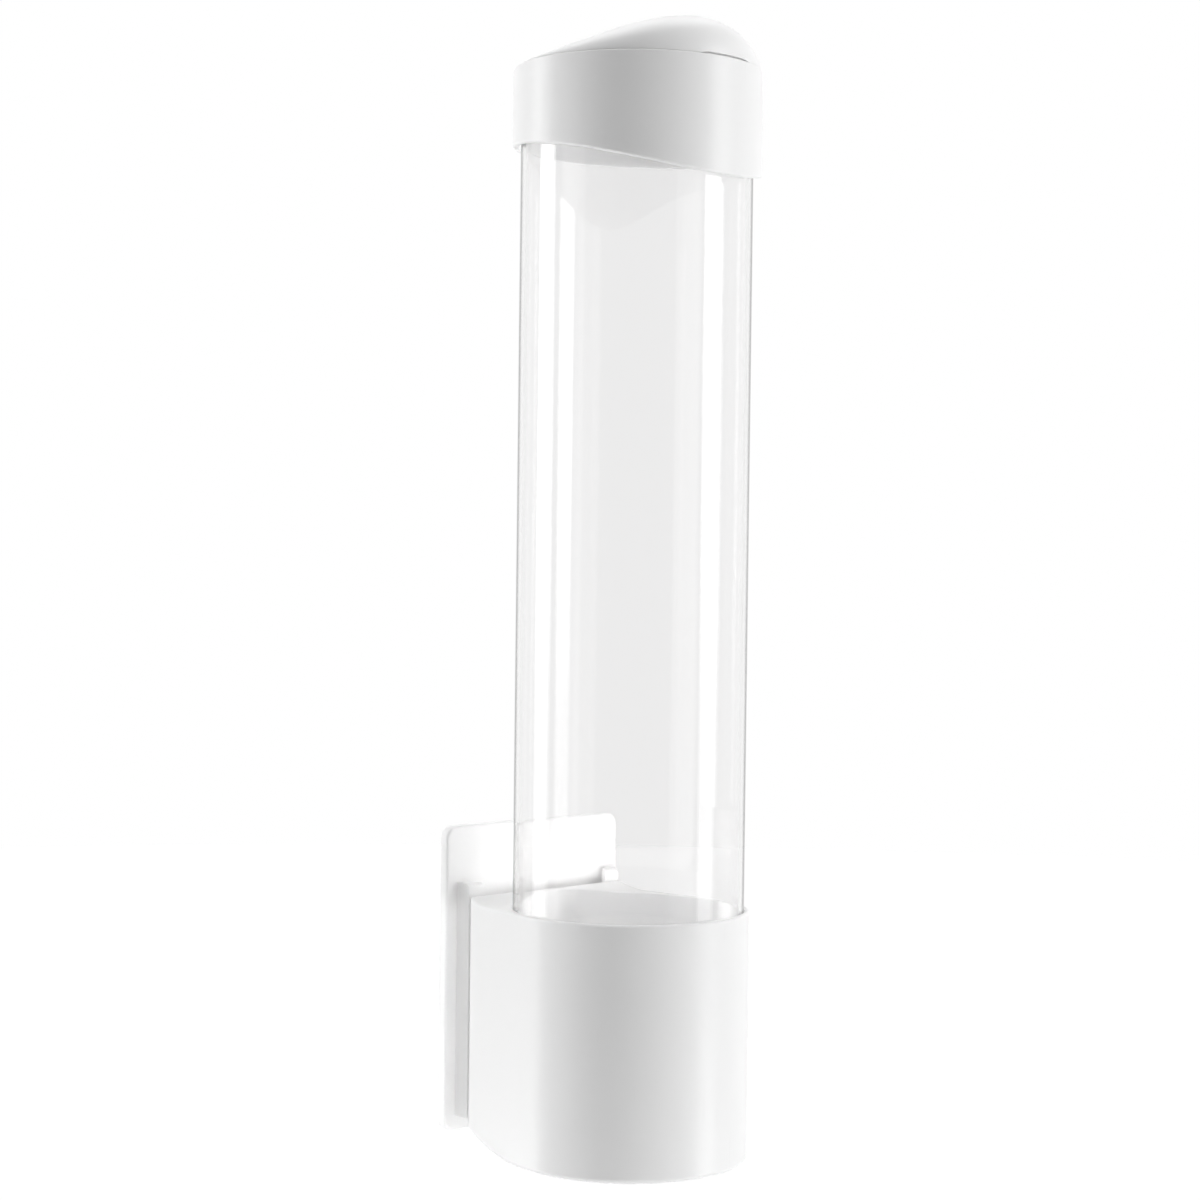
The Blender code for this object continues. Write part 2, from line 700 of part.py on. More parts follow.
def dome_height(radius_share, forward_share):
    ramp = dome_edge_rise + dome_front_rise * (max(0.0, 1 + forward_share) / 2) ** dome_slope_power
    crown = max(0.0, 1 - radius_share ** dome_round_power) ** (1 / dome_round_power)
    return ramp * crown


def notch_lift(x, y):
    # The lid's lower edge is raised over the finger notch at the front
    angle = abs(math.atan2(x, axis_y - y))
    share = (lid_notch_half_angle - angle) / lid_notch_blend_angle
    share = min(1.0, max(0.0, share))
    return lid_notch_height * share * share * (3 - 2 * share)


def make_lid():
    outer = cap_outer_radius
    plug_outer = outer - collar_rim_width - fit_gap
    plug_inner = plug_outer - lid_plug_wall
    plug_depth = lid_plane - lid_plug_bottom
    outer_shares = (0.0, 0.15, 0.3, 0.45, 0.58, 0.7, 0.79, 0.86, 0.915, 0.955, 0.982)
    inner_shares = (1.0, 0.97, 0.9, 0.78, 0.6, 0.35, 0.0)
    profile = [(outer * share, lid_plane + outer) for share in outer_shares]
    profile += [(outer, lid_plane), (plug_outer, lid_plane), (plug_outer, lid_plug_bottom)]
    profile += [(plug_inner * share, lid_plug_bottom - outer) for share in inner_shares]
    bm = bmesh.new()
    add_turned(bm, profile, turned_segments, (0.0, axis_y, 0.0), (0.0, 0.0, 1.0))
    # The turned rings lie far above and below the lid; here they take the height of the dome
    for vert in bm.verts:
        radius = math.hypot(vert.co.x, vert.co.y - axis_y)
        forward = (axis_y - vert.co.y) / outer
        if vert.co.z > lid_plane + outer / 2:
            vert.co.z = lid_plane + dome_height(radius / outer, forward)
        elif vert.co.z < lid_plug_bottom - outer / 2:
            scale = outer / plug_inner
            vert.co.z = lid_plug_bottom + dome_height(min(1.0, radius / plug_inner), forward * scale)
        elif vert.co.z > lid_plane - plug_depth / 2:
            vert.co.z += notch_lift(vert.co.x, vert.co.y)
    lid = make_object("cap_lid", bm, white_gloss)

    half = hinge_lid_knuckle_width / 2
    bm = bmesh.new()
    add_cylinder(bm, hinge_barrel_radius, (-half, hinge_y, hinge_z), (half, hinge_y, hinge_z), hole_segments)
    combine(lid, make_guide("lid_knuckle", bm), "UNION")
    bm = bmesh.new()
    add_box(bm, (-half, axis_y + outer - hinge_lid_web_reach, lid_plane + fit_gap),
            (half, hinge_y, lid_plane + hinge_lid_web_height))
    combine(lid, make_guide("lid_knuckle_web", bm), "UNION")
    bm = bmesh.new()
    bore_half = half + cut_overrun
    add_cylinder(bm, hinge_pin_radius + fit_gap, (-bore_half, hinge_y, hinge_z), (bore_half, hinge_y, hinge_z),
                 hole_segments)
    combine(lid, make_guide("lid_pin_bore_cutter", bm), "DIFFERENCE")


clear_scene()
guide_material = make_material("guide", (0.5, 0.5, 0.5), 0.5)
white_gloss = make_material("white_gloss_plastic", (0.86, 0.86, 0.85), 0.22)
white_satin = make_material("white_satin_plastic", (0.82, 0.82, 0.81), 0.40)
finger_plastic = make_material("finger_plastic", (0.74, 0.75, 0.76), 0.45)
clear_plastic = make_material("clear_plastic", (0.97, 0.98, 0.98), 0.04, 1.0)
grey_rubber = make_material("grey_rubber", (0.30, 0.30, 0.31), 0.80)
screw_steel = make_metal("screw_steel", (0.62, 0.62, 0.60), 0.35)

make_wall_plate()
make_base_housing()
make_back_slide()
make_finger_ring()
make_fingers()
make_tube()
make_gasket()
make_collar()
make_lid()
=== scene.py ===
import json
import math

import bmesh
import bpy
from mathutils import Matrix, Vector


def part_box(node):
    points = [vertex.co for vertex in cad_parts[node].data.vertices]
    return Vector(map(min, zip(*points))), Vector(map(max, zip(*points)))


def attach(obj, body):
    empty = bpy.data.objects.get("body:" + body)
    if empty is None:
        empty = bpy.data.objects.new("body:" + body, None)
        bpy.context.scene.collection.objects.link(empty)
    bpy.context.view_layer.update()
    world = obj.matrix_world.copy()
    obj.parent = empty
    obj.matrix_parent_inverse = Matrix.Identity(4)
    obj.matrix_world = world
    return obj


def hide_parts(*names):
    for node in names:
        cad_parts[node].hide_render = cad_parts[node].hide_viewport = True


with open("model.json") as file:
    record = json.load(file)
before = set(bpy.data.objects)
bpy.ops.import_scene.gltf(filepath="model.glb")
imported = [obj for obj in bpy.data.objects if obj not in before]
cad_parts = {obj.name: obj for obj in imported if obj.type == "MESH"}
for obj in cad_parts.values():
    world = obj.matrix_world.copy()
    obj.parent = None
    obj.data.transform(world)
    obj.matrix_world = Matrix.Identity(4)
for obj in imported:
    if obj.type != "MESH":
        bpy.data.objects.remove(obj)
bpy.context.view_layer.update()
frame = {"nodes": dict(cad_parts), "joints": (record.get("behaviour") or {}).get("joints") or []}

print("frame loaded:", len(frame["nodes"]), "nodes")


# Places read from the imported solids

tubeLow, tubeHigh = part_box("clear_tube")
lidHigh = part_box("cap_lid")[1]
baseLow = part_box("base_housing")[0]
plateLow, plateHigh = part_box("wall_plate")
ringLow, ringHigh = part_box("finger_ring")
gasketLow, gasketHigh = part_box("tube_gasket")
slideLow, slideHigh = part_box("back_slide")
axisY = (tubeLow.y + tubeHigh.y) / 2
tubeRadius = (tubeHigh.x - tubeLow.x) / 2
jointPlace = {joint["name"]: joint.get("pos_m") for joint in frame["joints"]}


# Shader node helpers

def feed(node, inputs):
    # Each input, by its name or number, gets a plain value or a link from another node's output
    for label, value in inputs.items():
        if isinstance(value, bpy.types.NodeSocket):
            node.id_data.links.new(value, node.inputs[label])
        else:
            node.inputs[label].default_value = value
    return node


def addNode(tree, kind, inputs):
    return feed(tree.nodes.new(kind), inputs)


def addMath(tree, operation, *values, clamp=False):
    node = tree.nodes.new("ShaderNodeMath")
    node.operation = operation
    node.use_clamp = clamp
    return feed(node, dict(enumerate(values))).outputs[0]


def addVectorMath(tree, operation, inputs, result):
    node = tree.nodes.new("ShaderNodeVectorMath")
    node.operation = operation
    return feed(node, inputs).outputs[result]


def addRamp(tree, value, start, end, low=0.0, high=1.0, kind="SMOOTHSTEP"):
    node = tree.nodes.new("ShaderNodeMapRange")
    node.interpolation_type = kind
    inputs = {"Value": value, "From Min": start, "From Max": end, "To Min": low, "To Max": high}
    return feed(node, inputs).outputs["Result"]


def addMix(tree, kind, factor, first, second):
    node = tree.nodes.new("ShaderNodeMix")
    node.data_type = kind
    return feed(node, {"Factor": factor, "A": first, "B": second}).outputs["Result"]


def addNoise(tree, vector, scale, detail, roughness=0.5):
    inputs = {"Vector": vector, "Scale": scale, "Detail": detail, "Roughness": roughness}
    return addNode(tree, "ShaderNodeTexNoise", inputs).outputs["Fac"]


def addMapping(tree, vector, inputs):
    return addNode(tree, "ShaderNodeMapping", {"Vector": vector, **inputs}).outputs["Vector"]


def addBump(tree, height, strength, distance):
    inputs = {"Height": height, "Strength": strength, "Distance": distance}
    return addNode(tree, "ShaderNodeBump", inputs).outputs["Normal"]


def objectCoords(tree):
    return tree.nodes.new("ShaderNodeTexCoord").outputs["Object"]


def newMaterial(name):
    material = bpy.data.materials.new(name)
    material.use_nodes = True
    return material, material.node_tree, material.node_tree.nodes["Principled BSDF"]


# Moulded plastics, rubber and steel

skinInputs = {"Tone": (0.8, 0.8, 0.8, 1.0), "Tone Drift": 0.02, "Gloss": 0.3, "Gloss Drift": 0.06,
              "Grain Scale": 1800.0, "Grain": 0.3, "Waviness": 0.3, "Scuffs": 0.5}
skinPattern = {"slowScale": 24.0, "slowDetail": 3.0, "patchScale": 90.0, "patchDetail": 5.0,
               "patchRoughness": 0.65, "grainDetail": 2.0, "noiseMiddle": 0.5,
               "hairTurn": (0.9, 0.5, 0.7), "hairStretch": (1.0, 1.0, 0.05), "hairScale": 900.0,
               "hairDetail": 1.0, "hairCut": (0.66, 0.74), "wornCut": (0.48, 0.62),
               "scuffTone": -0.05, "scuffRoughness": 0.25}
plasticLook = {"ior": 1.5, "bump": 0.25, "bumpDepth": 0.0001}


def makeMouldedSkin(inputs, pattern):
    # The skin of a moulded piece: slow tone drift, faint gloss patches, fine grain and handling marks
    tree = bpy.data.node_groups.new("mouldedSkin", "ShaderNodeTree")
    for label, value in inputs.items():
        kind = "NodeSocketFloat" if isinstance(value, float) else "NodeSocketColor"
        tree.interface.new_socket(label, in_out="INPUT", socket_type=kind).default_value = value
    for label, kind in (("Tone", "Color"), ("Roughness", "Float"), ("Height", "Float")):
        tree.interface.new_socket(label, in_out="OUTPUT", socket_type="NodeSocket" + kind)
    own = tree.nodes.new("NodeGroupInput").outputs
    coords = objectCoords(tree)
    slow = addNoise(tree, coords, pattern["slowScale"], pattern["slowDetail"])
    centred = addMath(tree, "SUBTRACT", slow, pattern["noiseMiddle"])

    # Hairline scuffs: stretched noise, cut to thin lines and kept to a few worn places
    along = addMapping(tree, coords, {"Rotation": pattern["hairTurn"], "Scale": pattern["hairStretch"]})
    hairs = addNoise(tree, along, pattern["hairScale"], pattern["hairDetail"])
    thin = addRamp(tree, hairs, *pattern["hairCut"], kind="LINEAR")
    worn = addRamp(tree, slow, *pattern["wornCut"], kind="LINEAR")
    scuff = addMath(tree, "MULTIPLY", addMath(tree, "MULTIPLY", thin, worn), own["Scuffs"])

    drift = addMath(tree, "MULTIPLY", centred, own["Tone Drift"])
    fade = addMath(tree, "MULTIPLY", scuff, pattern["scuffTone"])
    level = addMath(tree, "ADD", addMath(tree, "ADD", drift, fade), 1.0)
    tone = addVectorMath(tree, "SCALE", {0: own["Tone"], "Scale": level}, "Vector")

    patch = addNoise(tree, coords, pattern["patchScale"], pattern["patchDetail"], pattern["patchRoughness"])
    patchCentred = addMath(tree, "SUBTRACT", patch, pattern["noiseMiddle"])
    glossDrift = addMath(tree, "MULTIPLY", patchCentred, own["Gloss Drift"])
    rough = addMath(tree, "MULTIPLY_ADD", scuff, pattern["scuffRoughness"], glossDrift)
    roughness = addMath(tree, "ADD", rough, own["Gloss"], clamp=True)

    grain = addNoise(tree, coords, own["Grain Scale"], pattern["grainDetail"])
    grainHeight = addMath(tree, "MULTIPLY", grain, own["Grain"])
    waveHeight = addMath(tree, "MULTIPLY", centred, own["Waviness"])
    height = addMath(tree, "ADD", grainHeight, waveHeight)
    addNode(tree, "NodeGroupOutput", {"Tone": tone, "Roughness": roughness, "Height": height})
    return tree


mouldedSkin = makeMouldedSkin(skinInputs, skinPattern)


def makePlastic(name, skinValues, shaderValues, look=plasticLook):
    material, tree, shader = newMaterial(name)
    skin = tree.nodes.new("ShaderNodeGroup")
    skin.node_tree = mouldedSkin
    feed(skin, {**skinInputs, **skinValues})
    bump = addBump(tree, skin.outputs["Height"], look["bump"], look["bumpDepth"])
    feed(shader, {"IOR": look["ior"], "Base Color": skin.outputs["Tone"],
                  "Roughness": skin.outputs["Roughness"], "Normal": bump, **shaderValues})
    return material


def glow(depth):
    # Light goes a short way into white plastic, equally for all colours
    return {"Subsurface Weight": 1.0, "Subsurface Radius": (1.0, 1.0, 1.0), "Subsurface Scale": depth}


whiteGloss = makePlastic("whiteGlossPlastic", {"Tone": (0.93, 0.928, 0.928, 1.0), "Gloss": 0.31}, glow(0.0008))
whiteSatin = makePlastic("whiteSatinPlastic", {"Tone": (0.93, 0.922, 0.918, 1.0), "Gloss": 0.42, "Grain": 0.5},
                         glow(0.0035))
fingerSoft = makePlastic("fingerSoftPlastic", {"Tone": (0.74, 0.75, 0.76, 1.0), "Gloss": 0.5}, {})
seatRubber = makePlastic("seatRubber", {"Tone": (0.62, 0.62, 0.61, 1.0), "Gloss": 0.6, "Grain": 0.8}, {})
zincSteel = makePlastic("zincSteel", {"Tone": (0.62, 0.62, 0.60, 1.0), "Gloss": 0.3}, {"Metallic": 1.0})


# Clear plastic

# The plain tint of the clear plastic, and a near-black painted edge shade for the tube's sides
clearLook = {"tint": (0.934, 0.932, 0.932, 1.0), "edgeShadeCut": (0.76, 0.86), "paintedEdgeShade": (0.02, 0.02, 0.02, 1.0),
             "skin": 0.001, "ior": 1.49, "lineStretch": 0.03, "lineScale": 150.0, "lineDetail": 3.0,
             "lineBump": 0.15, "lineDepth": 0.0001, "hazeScale": 30.0, "hazeDetail": 4.0,
             "hazeCut": (0.35, 0.75), "haze": (0.0, 0.03), "shadowTint": (0.99, 0.99, 0.99, 1.0)}


def makeClearPlastic(look):
    material, tree, shader = newMaterial("clearTubePlastic")
    coords = objectCoords(tree)
    toAxis = (0.0, -axisY, 0.0)
    # Painted shade: where the outer skin is seen edge on at the sides of the tube, its colour is darkened to near
    # black, painting a dark line there
    edgeOn = tree.nodes.new("ShaderNodeLayerWeight").outputs["Facing"]
    edge = addRamp(tree, edgeOn, *look["edgeShadeCut"])
    flat = addMapping(tree, coords, {"Location": toAxis, "Scale": (1.0, 1.0, 0.0)})
    reach = addVectorMath(tree, "LENGTH", {0: flat}, "Value")
    outside = addMath(tree, "GREATER_THAN", reach, tubeRadius - look["skin"])
    tint = addMix(tree, "RGBA", addMath(tree, "MULTIPLY", edge, outside), look["tint"], look["paintedEdgeShade"])
    # Drawing lines of the extrusion run down the tube, so the pattern is stretched along it
    stretched = addMapping(tree, coords, {"Location": toAxis, "Scale": (1.0, 1.0, look["lineStretch"])})
    lines = addNoise(tree, stretched, look["lineScale"], look["lineDetail"])
    haze = addNoise(tree, coords, look["hazeScale"], look["hazeDetail"])
    feed(shader, {"IOR": look["ior"], "Transmission Weight": 1.0, "Base Color": tint,
                  "Roughness": addRamp(tree, haze, *look["hazeCut"], *look["haze"], kind="LINEAR"),
                  "Normal": addBump(tree, lines, look["lineBump"], look["lineDepth"])})
    # Lamps reach what is inside the tube
    clear = addNode(tree, "ShaderNodeBsdfTransparent", {"Color": look["shadowTint"]})
    path = tree.nodes.new("ShaderNodeLightPath")
    mix = addNode(tree, "ShaderNodeMixShader", {
        "Fac": path.outputs["Is Shadow Ray"], 1: shader.outputs["BSDF"], 2: clear.outputs["BSDF"]})
    feed(tree.nodes["Material Output"], {"Surface": mix.outputs["Shader"]})
    return material


clearPlastic = makeClearPlastic(clearLook)
print("materials made")


# Shared modelling helpers

tiny = 0.00001  # how near a vertex has to be to a face to count as on it
cutPast = 0.002  # how far a cutting shape reaches past the face it cuts
bury = 0.0008  # how deep a joined shape starts inside its neighbour
smoothAngle = math.radians(32.0)


def linked(name, data):
    made = bpy.data.objects.new(name, data)
    bpy.context.scene.collection.objects.link(made)
    return made


def meshFrom(name, bm):
    mesh = bpy.data.meshes.new(name)
    bm.to_mesh(mesh)
    bm.free()
    return mesh


def finishPiece(name, bm, material, body, replaced):
    bmesh.ops.recalc_face_normals(bm, faces=bm.faces)
    mesh = meshFrom(name, bm)
    mesh.shade_smooth()
    mesh.set_sharp_from_angle(angle=smoothAngle)
    piece = linked(name, mesh)
    mesh.materials.append(material)
    piece.modifiers.new("evenNormals", "WEIGHTED_NORMAL").keep_sharp = True
    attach(piece, body)
    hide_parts(*replaced)


def combined(bm, steps):
    # Joins shapes to a solid or cuts them out of it, and gives back the result
    work = linked("work", meshFrom("work", bm))
    tools = []
    for operation, toolBm in steps:
        bmesh.ops.recalc_face_normals(toolBm, faces=toolBm.faces)
        tools.append(linked("tool", meshFrom("tool", toolBm)))
        boolean = work.modifiers.new("combine", "BOOLEAN")
        boolean.operation = operation
        boolean.solver = "EXACT"
        boolean.object = tools[-1]
    result = bmesh.new()
    result.from_object(work, bpy.context.evaluated_depsgraph_get())
    for leftover in [work] + tools:
        mesh = leftover.data
        bpy.data.objects.remove(leftover)
        bpy.data.meshes.remove(mesh)
    return result


def facing(place, direction):
    # Stands something at a place with its own Z along a direction
    return Matrix.Translation(place) @ Vector(direction).to_track_quat("Z", "Y").to_matrix().to_4x4()


def addTurned(bm, points, segments, seat=(0.0, 0.0, 0.0), direction=(0.0, 0.0, 1.0), closed=False):
    # Points are (radius, height) about an axis through the seat; an open row of points ends on the axis
    known = set(bm.verts)
    verts = [bm.verts.new((0.0, -radius, height)) for radius, height in points]
    pairs = list(zip(verts, verts[1:]))
    if closed:
        pairs.append((verts[-1], verts[0]))
    edges = [bm.edges.new(pair) for pair in pairs]
    bmesh.ops.spin(bm, geom=verts + edges, cent=(0.0, 0.0, 0.0), axis=(0.0, 0.0, 1.0),
                   angle=math.tau, steps=segments, use_merge=True)
    added = [vert for vert in bm.verts if vert not in known]
    bmesh.ops.remove_doubles(bm, verts=added, dist=0.000002)
    added = [vert for vert in bm.verts if vert not in known]
    bmesh.ops.transform(bm, matrix=facing(seat, direction), verts=added)


def turned(points, segments, closed=True):
    bm = bmesh.new()
    addTurned(bm, points, segments, (0.0, axisY, 0.0), closed=closed)
    return bm


def roundedCorner(previous, corner, following, radius, steps):
    # Points of the arc that rounds one corner of an outline
    corner = Vector(corner)
    before = (Vector(previous) - corner).normalized()
    after = (Vector(following) - corner).normalized()
    half = before.angle(after) / 2
    reach = radius / math.tan(half)
    centre = corner + (before + after).normalized() * (radius / math.sin(half))
    first = corner + before * reach - centre
    last = corner + after * reach - centre
    start = math.atan2(first.y, first.x)
    sweep = (math.atan2(last.y, last.x) - start + math.pi) % math.tau - math.pi
    return [tuple(centre + Vector((math.cos(start + sweep * step / steps),
                                   math.sin(start + sweep * step / steps))) * radius)
            for step in range(steps + 1)]


def roundedOutline(corners, steps):
    # Corners are (across, up, rounding)
    points = []
    for index, (across, up, rounding) in enumerate(corners):
        if rounding == 0.0:
            points.append((across, up))
        else:
            points += roundedCorner(corners[index - 1][:2], (across, up),
                                    corners[(index + 1) % len(corners)][:2], rounding, steps)
    return points


def turnedBand(inner, outer, low, high, rounding, steps, segments):
    # A ring or a tube with rounded ends
    return turned(roundedOutline([(inner, low, rounding), (outer, low, rounding), (outer, high, rounding),
                                  (inner, high, rounding)], steps), segments)


def addCylinder(bm, radius, start, end, segments, edgeRound=0.0):
    start, end = Vector(start), Vector(end)
    length = (end - start).length
    side = [(radius, 0.0), (radius, length)]
    if edgeRound > 0.0:
        side = [(radius - edgeRound, 0.0), (radius, edgeRound), (radius, length - edgeRound),
                (radius - edgeRound, length)]
    addTurned(bm, [(0.0, 0.0)] + side + [(0.0, length)], segments, start, end - start)


def addBox(bm, low, high):
    size = [b - a for a, b in zip(low, high)]
    middle = [(a + b) / 2 for a, b in zip(low, high)]
    place = Matrix.Translation(middle) @ Matrix.Diagonal((*size, 1.0))
    return bmesh.ops.create_cube(bm, size=1.0, matrix=place)["verts"]


def onlyVerts(items):
    return [item for item in items if isinstance(item, bmesh.types.BMVert)]


def pushFaces(bm, faces, direction):
    pushed = bmesh.ops.extrude_face_region(bm, geom=faces)["geom"]
    bmesh.ops.translate(bm, verts=onlyVerts(pushed), vec=direction)


def addPrism(bm, outline, direction):
    # A flat outline of points in space, pushed along a direction
    pushFaces(bm, [bm.faces.new([bm.verts.new(point) for point in outline])], direction)


def prism(outline, direction):
    bm = bmesh.new()
    addPrism(bm, outline, direction)
    return bm


def bevelEdges(bm, edges, radius, segments):
    bmesh.ops.bevel(bm, geom=edges, offset=radius, offset_type="OFFSET", segments=segments, profile=0.5,
                    affect="EDGES", clamp_overlap=True, material=-1)


def roundEdges(bm, test, radius, segments):
    # Rounds the edges that have both ends where the test holds
    bevelEdges(bm, [edge for edge in bm.edges if all(test(vert.co) for vert in edge.verts)], radius, segments)


# Clear tube

tubeSizes = {"wall": 0.0020, "endRound": 0.0005, "roundSteps": 5, "segments": 192}


def makeTube(sizes):
    bm = turnedBand(tubeRadius - sizes["wall"], tubeRadius, tubeLow.z, tubeHigh.z, sizes["endRound"],
                    sizes["roundSteps"], sizes["segments"])
    finishPiece("tubeWall", bm, clearPlastic, "tube", ["clear_tube"])


# Seat gasket

gasketSizes = {"width": 0.0018, "round": 0.0004, "roundSteps": 3, "segments": 144}


def makeGasket(sizes):
    outer = (gasketHigh.x - gasketLow.x) / 2
    bm = turnedBand(outer - sizes["width"], outer, gasketLow.z, gasketHigh.z, sizes["round"],
                    sizes["roundSteps"], sizes["segments"])
    finishPiece("seatGasket", bm, seatRubber, "dispenser", ["tube_gasket"])


# Cap collar

hingeSizes = {"barrel": 0.0023, "pin": 0.0010, "bore": 0.0013, "lidHalf": 0.0047, "gap": 0.0003,
              "collarWidth": 0.0060, "webHeight": 0.0080, "webDrop": 0.0008, "webShare": 0.9, "webSteps": 10,
              "webReachPower": 1.6, "webRisePower": 1.2, "lidWebHeight": 0.0016, "lidWebReach": 0.0060,
              "barrelRound": 0.0003, "pinRound": 0.0002, "barrelSegments": 48, "pinSegments": 32}
hingeY, hingeZ = jointPlace["lid_hinge"][1:]

collarSizes = {"radius": 0.0482, "skirtWall": 0.0020, "backHeight": 0.0292, "frontDrop": 0.0146,
               "swoopPower": 2.15, "edgeRound": 0.0009, "topRound": 0.0005, "innerRound": 0.0004,
               "rimRound": 0.0002, "roundSteps": 5, "shoulder": 0.0024, "shoulderReach": 0.0022,
               "rebate": 0.0022, "rimWidth": 0.0017, "grip": 0.0140, "lead": 0.0012, "gap": 0.0003,
               "segments": 192}
collarTop = tubeHigh.z + collarSizes["gap"] + collarSizes["shoulder"] + collarSizes["rebate"]


def addHingeCylinder(bm, radius, fromX, toX, segments, edgeRound=0.0):
    addCylinder(bm, radius, (fromX, hingeY, hingeZ), (toX, hingeY, hingeZ), segments, edgeRound)


def collarEdgeHeight(forwardShare, sizes):
    share = max(0.0, 1 + forwardShare) / 2
    return collarTop - sizes["backHeight"] - sizes["frontDrop"] * share ** sizes["swoopPower"]


def makeCollar(sizes, hinge):
    outer, edge = sizes["radius"], collarEdgeHeight(1.0, sizes)
    skirt = outer - sizes["skirtWall"]
    rim = outer - sizes["rimWidth"]
    throat = tubeRadius - sizes["shoulderReach"]
    shoulderLow = tubeHigh.z + sizes["gap"]
    shoulderTop = shoulderLow + sizes["shoulder"]
    gripLow = shoulderLow - sizes["grip"]
    grip = tubeRadius + sizes["gap"]
    rounding, small = sizes["edgeRound"], sizes["innerRound"]
    outline = roundedOutline([
        (skirt, edge, small), (outer, edge, rounding), (outer, collarTop, sizes["topRound"]),
        (rim, collarTop, sizes["rimRound"]), (rim, shoulderTop, 0.0), (throat, shoulderTop, small),
        (throat, shoulderLow, small), (grip, shoulderLow, 0.0), (grip, gripLow, 0.0),
        (skirt, gripLow - sizes["lead"], 0.0)], sizes["roundSteps"])
    bm = turned(outline, sizes["segments"])
    for vert in bm.verts:
        if vert.co.z < edge + 2 * rounding:
            spread = math.hypot(vert.co.x, vert.co.y - axisY)
            vert.co.z += collarEdgeHeight((axisY - vert.co.y) / spread, sizes) - edge
    inner = hinge["lidHalf"] + hinge["gap"]
    far = inner + hinge["collarWidth"]
    rootY = axisY + outer - sizes["skirtWall"] * hinge["webShare"]
    tipY = hingeY + hinge["barrel"] * hinge["webShare"]
    low = collarTop - hinge["webHeight"]
    high = collarTop - hinge["webDrop"]
    knuckles, webs, bore = bmesh.new(), bmesh.new(), bmesh.new()
    for side in (-1, 1):
        addHingeCylinder(knuckles, hinge["barrel"], side * inner, side * far, hinge["barrelSegments"],
                         hinge["barrelRound"])
        left, right = sorted((side * inner, side * far))
        curve = []
        for step in range(hinge["webSteps"] + 1):
            share = step / hinge["webSteps"]
            reach = math.sin(share * math.pi / 2) ** hinge["webReachPower"]
            rise = share ** hinge["webRisePower"]
            curve.append((left, rootY + (tipY - rootY) * reach, low + (high - low) * rise))
        addPrism(webs, curve + [(left, rootY, high)], (right - left, 0.0, 0.0))
    addHingeCylinder(bore, hinge["bore"], -far - cutPast, far + cutPast, hinge["pinSegments"])
    bm = combined(bm, [("UNION", knuckles), ("UNION", webs), ("DIFFERENCE", bore)])
    finishPiece("capCollar", bm, whiteGloss, "cap", ["cap_collar"])


# Domed lid

lidSizes = {"radius": 0.0477, "edgeRise": 0.00127, "frontRise": 0.0359, "slopePower": 2.19, "roundPower": 1.72,
            "plugGap": 0.0003, "plugWall": 0.0015, "plugDepth": 0.0020, "edgeRound": 0.00015,
            "notchHeight": 0.0007, "notchHalf": math.radians(17.0), "notchBlend": math.radians(6.0),
            "partingGap": 0.00005, "crownGap": 0.00002, "segments": 192, "outerRings": 34, "innerRings": 16,
            "outerCrowding": 0.9, "innerCrowding": 1.1}


def domeHeight(radiusShare, forwardShare, sizes):
    ramp = sizes["edgeRise"] + sizes["frontRise"] * (max(0.0, 1 + forwardShare) / 2) ** sizes["slopePower"]
    return ramp * max(0.0, 1 - radiusShare ** sizes["roundPower"]) ** (1 / sizes["roundPower"])


def notchLift(x, y, sizes):
    share = (sizes["notchHalf"] - abs(math.atan2(x, axisY - y))) / sizes["notchBlend"]
    share = min(1.0, max(0.0, share))
    return sizes["notchHeight"] * share * share * (3 - 2 * share)


def makeLid(sizes, collar, hinge):
    outer = sizes["radius"]
    plane = collarTop + sizes["partingGap"]
    plugOuter = collar["radius"] - collar["rimWidth"] - sizes["plugGap"]
    plugInner = plugOuter - sizes["plugWall"]
    plugLow = plane - sizes["plugDepth"]
    rounding = sizes["edgeRound"]
    # The rings of both domes are turned far above and far below, and are brought to their heights afterwards
    far = 1.0
    count, inside = sizes["outerRings"], sizes["innerRings"]
    profile = [(outer * math.sin(math.pi / 2 * (step / count) ** sizes["outerCrowding"]), far)
               for step in range(count)]
    profile += [(outer, plane + rounding), (outer - rounding, plane), (plugOuter, plane),
                (plugOuter, plugLow + rounding), (plugOuter - rounding, plugLow), (plugInner, plugLow)]
    profile += [(plugInner * math.cos(math.pi / 2 * (step / inside) ** sizes["innerCrowding"]), -far)
                for step in range(1, inside)]
    profile.append((0.0, -far))
    bm = turned(profile, sizes["segments"], closed=False)
    for vert in bm.verts:
        spread = math.hypot(vert.co.x, vert.co.y - axisY)
        forward = axisY - vert.co.y
        if vert.co.z > (far + plane) / 2:
            vert.co.z = plane + max(rounding, domeHeight(spread / outer, forward / outer, sizes))
        elif vert.co.z < 0.0:
            vert.co.z = plugLow + domeHeight(min(1.0, spread / plugInner), forward / plugInner, sizes)
        elif vert.co.z > plane - rounding:
            vert.co.z += notchLift(vert.co.x, vert.co.y, sizes)
    # The crown stays just under the solid's
    crown = max(vert.co.z for vert in bm.verts)
    fit = min(1.0, (lidHigh.z - sizes["crownGap"] - plane) / (crown - plane))
    for vert in bm.verts:
        if vert.co.z > plane:
            vert.co.z = plane + (vert.co.z - plane) * fit
    half = hinge["lidHalf"]
    knuckle, web, bore = bmesh.new(), bmesh.new(), bmesh.new()
    addHingeCylinder(knuckle, hinge["barrel"], -half, half, hinge["barrelSegments"], hinge["barrelRound"])
    addBox(web, (-half + hinge["barrelRound"], axisY + outer - hinge["lidWebReach"], plane + hinge["gap"]),
           (half - hinge["barrelRound"], hingeY, plane + hinge["lidWebHeight"]))
    addHingeCylinder(bore, hinge["bore"], -half - cutPast, half + cutPast, hinge["pinSegments"])
    bm = combined(bm, [("UNION", knuckle), ("UNION", web), ("DIFFERENCE", bore)])
    finishPiece("capLid", bm, whiteGloss, "lid", ["cap_lid"])


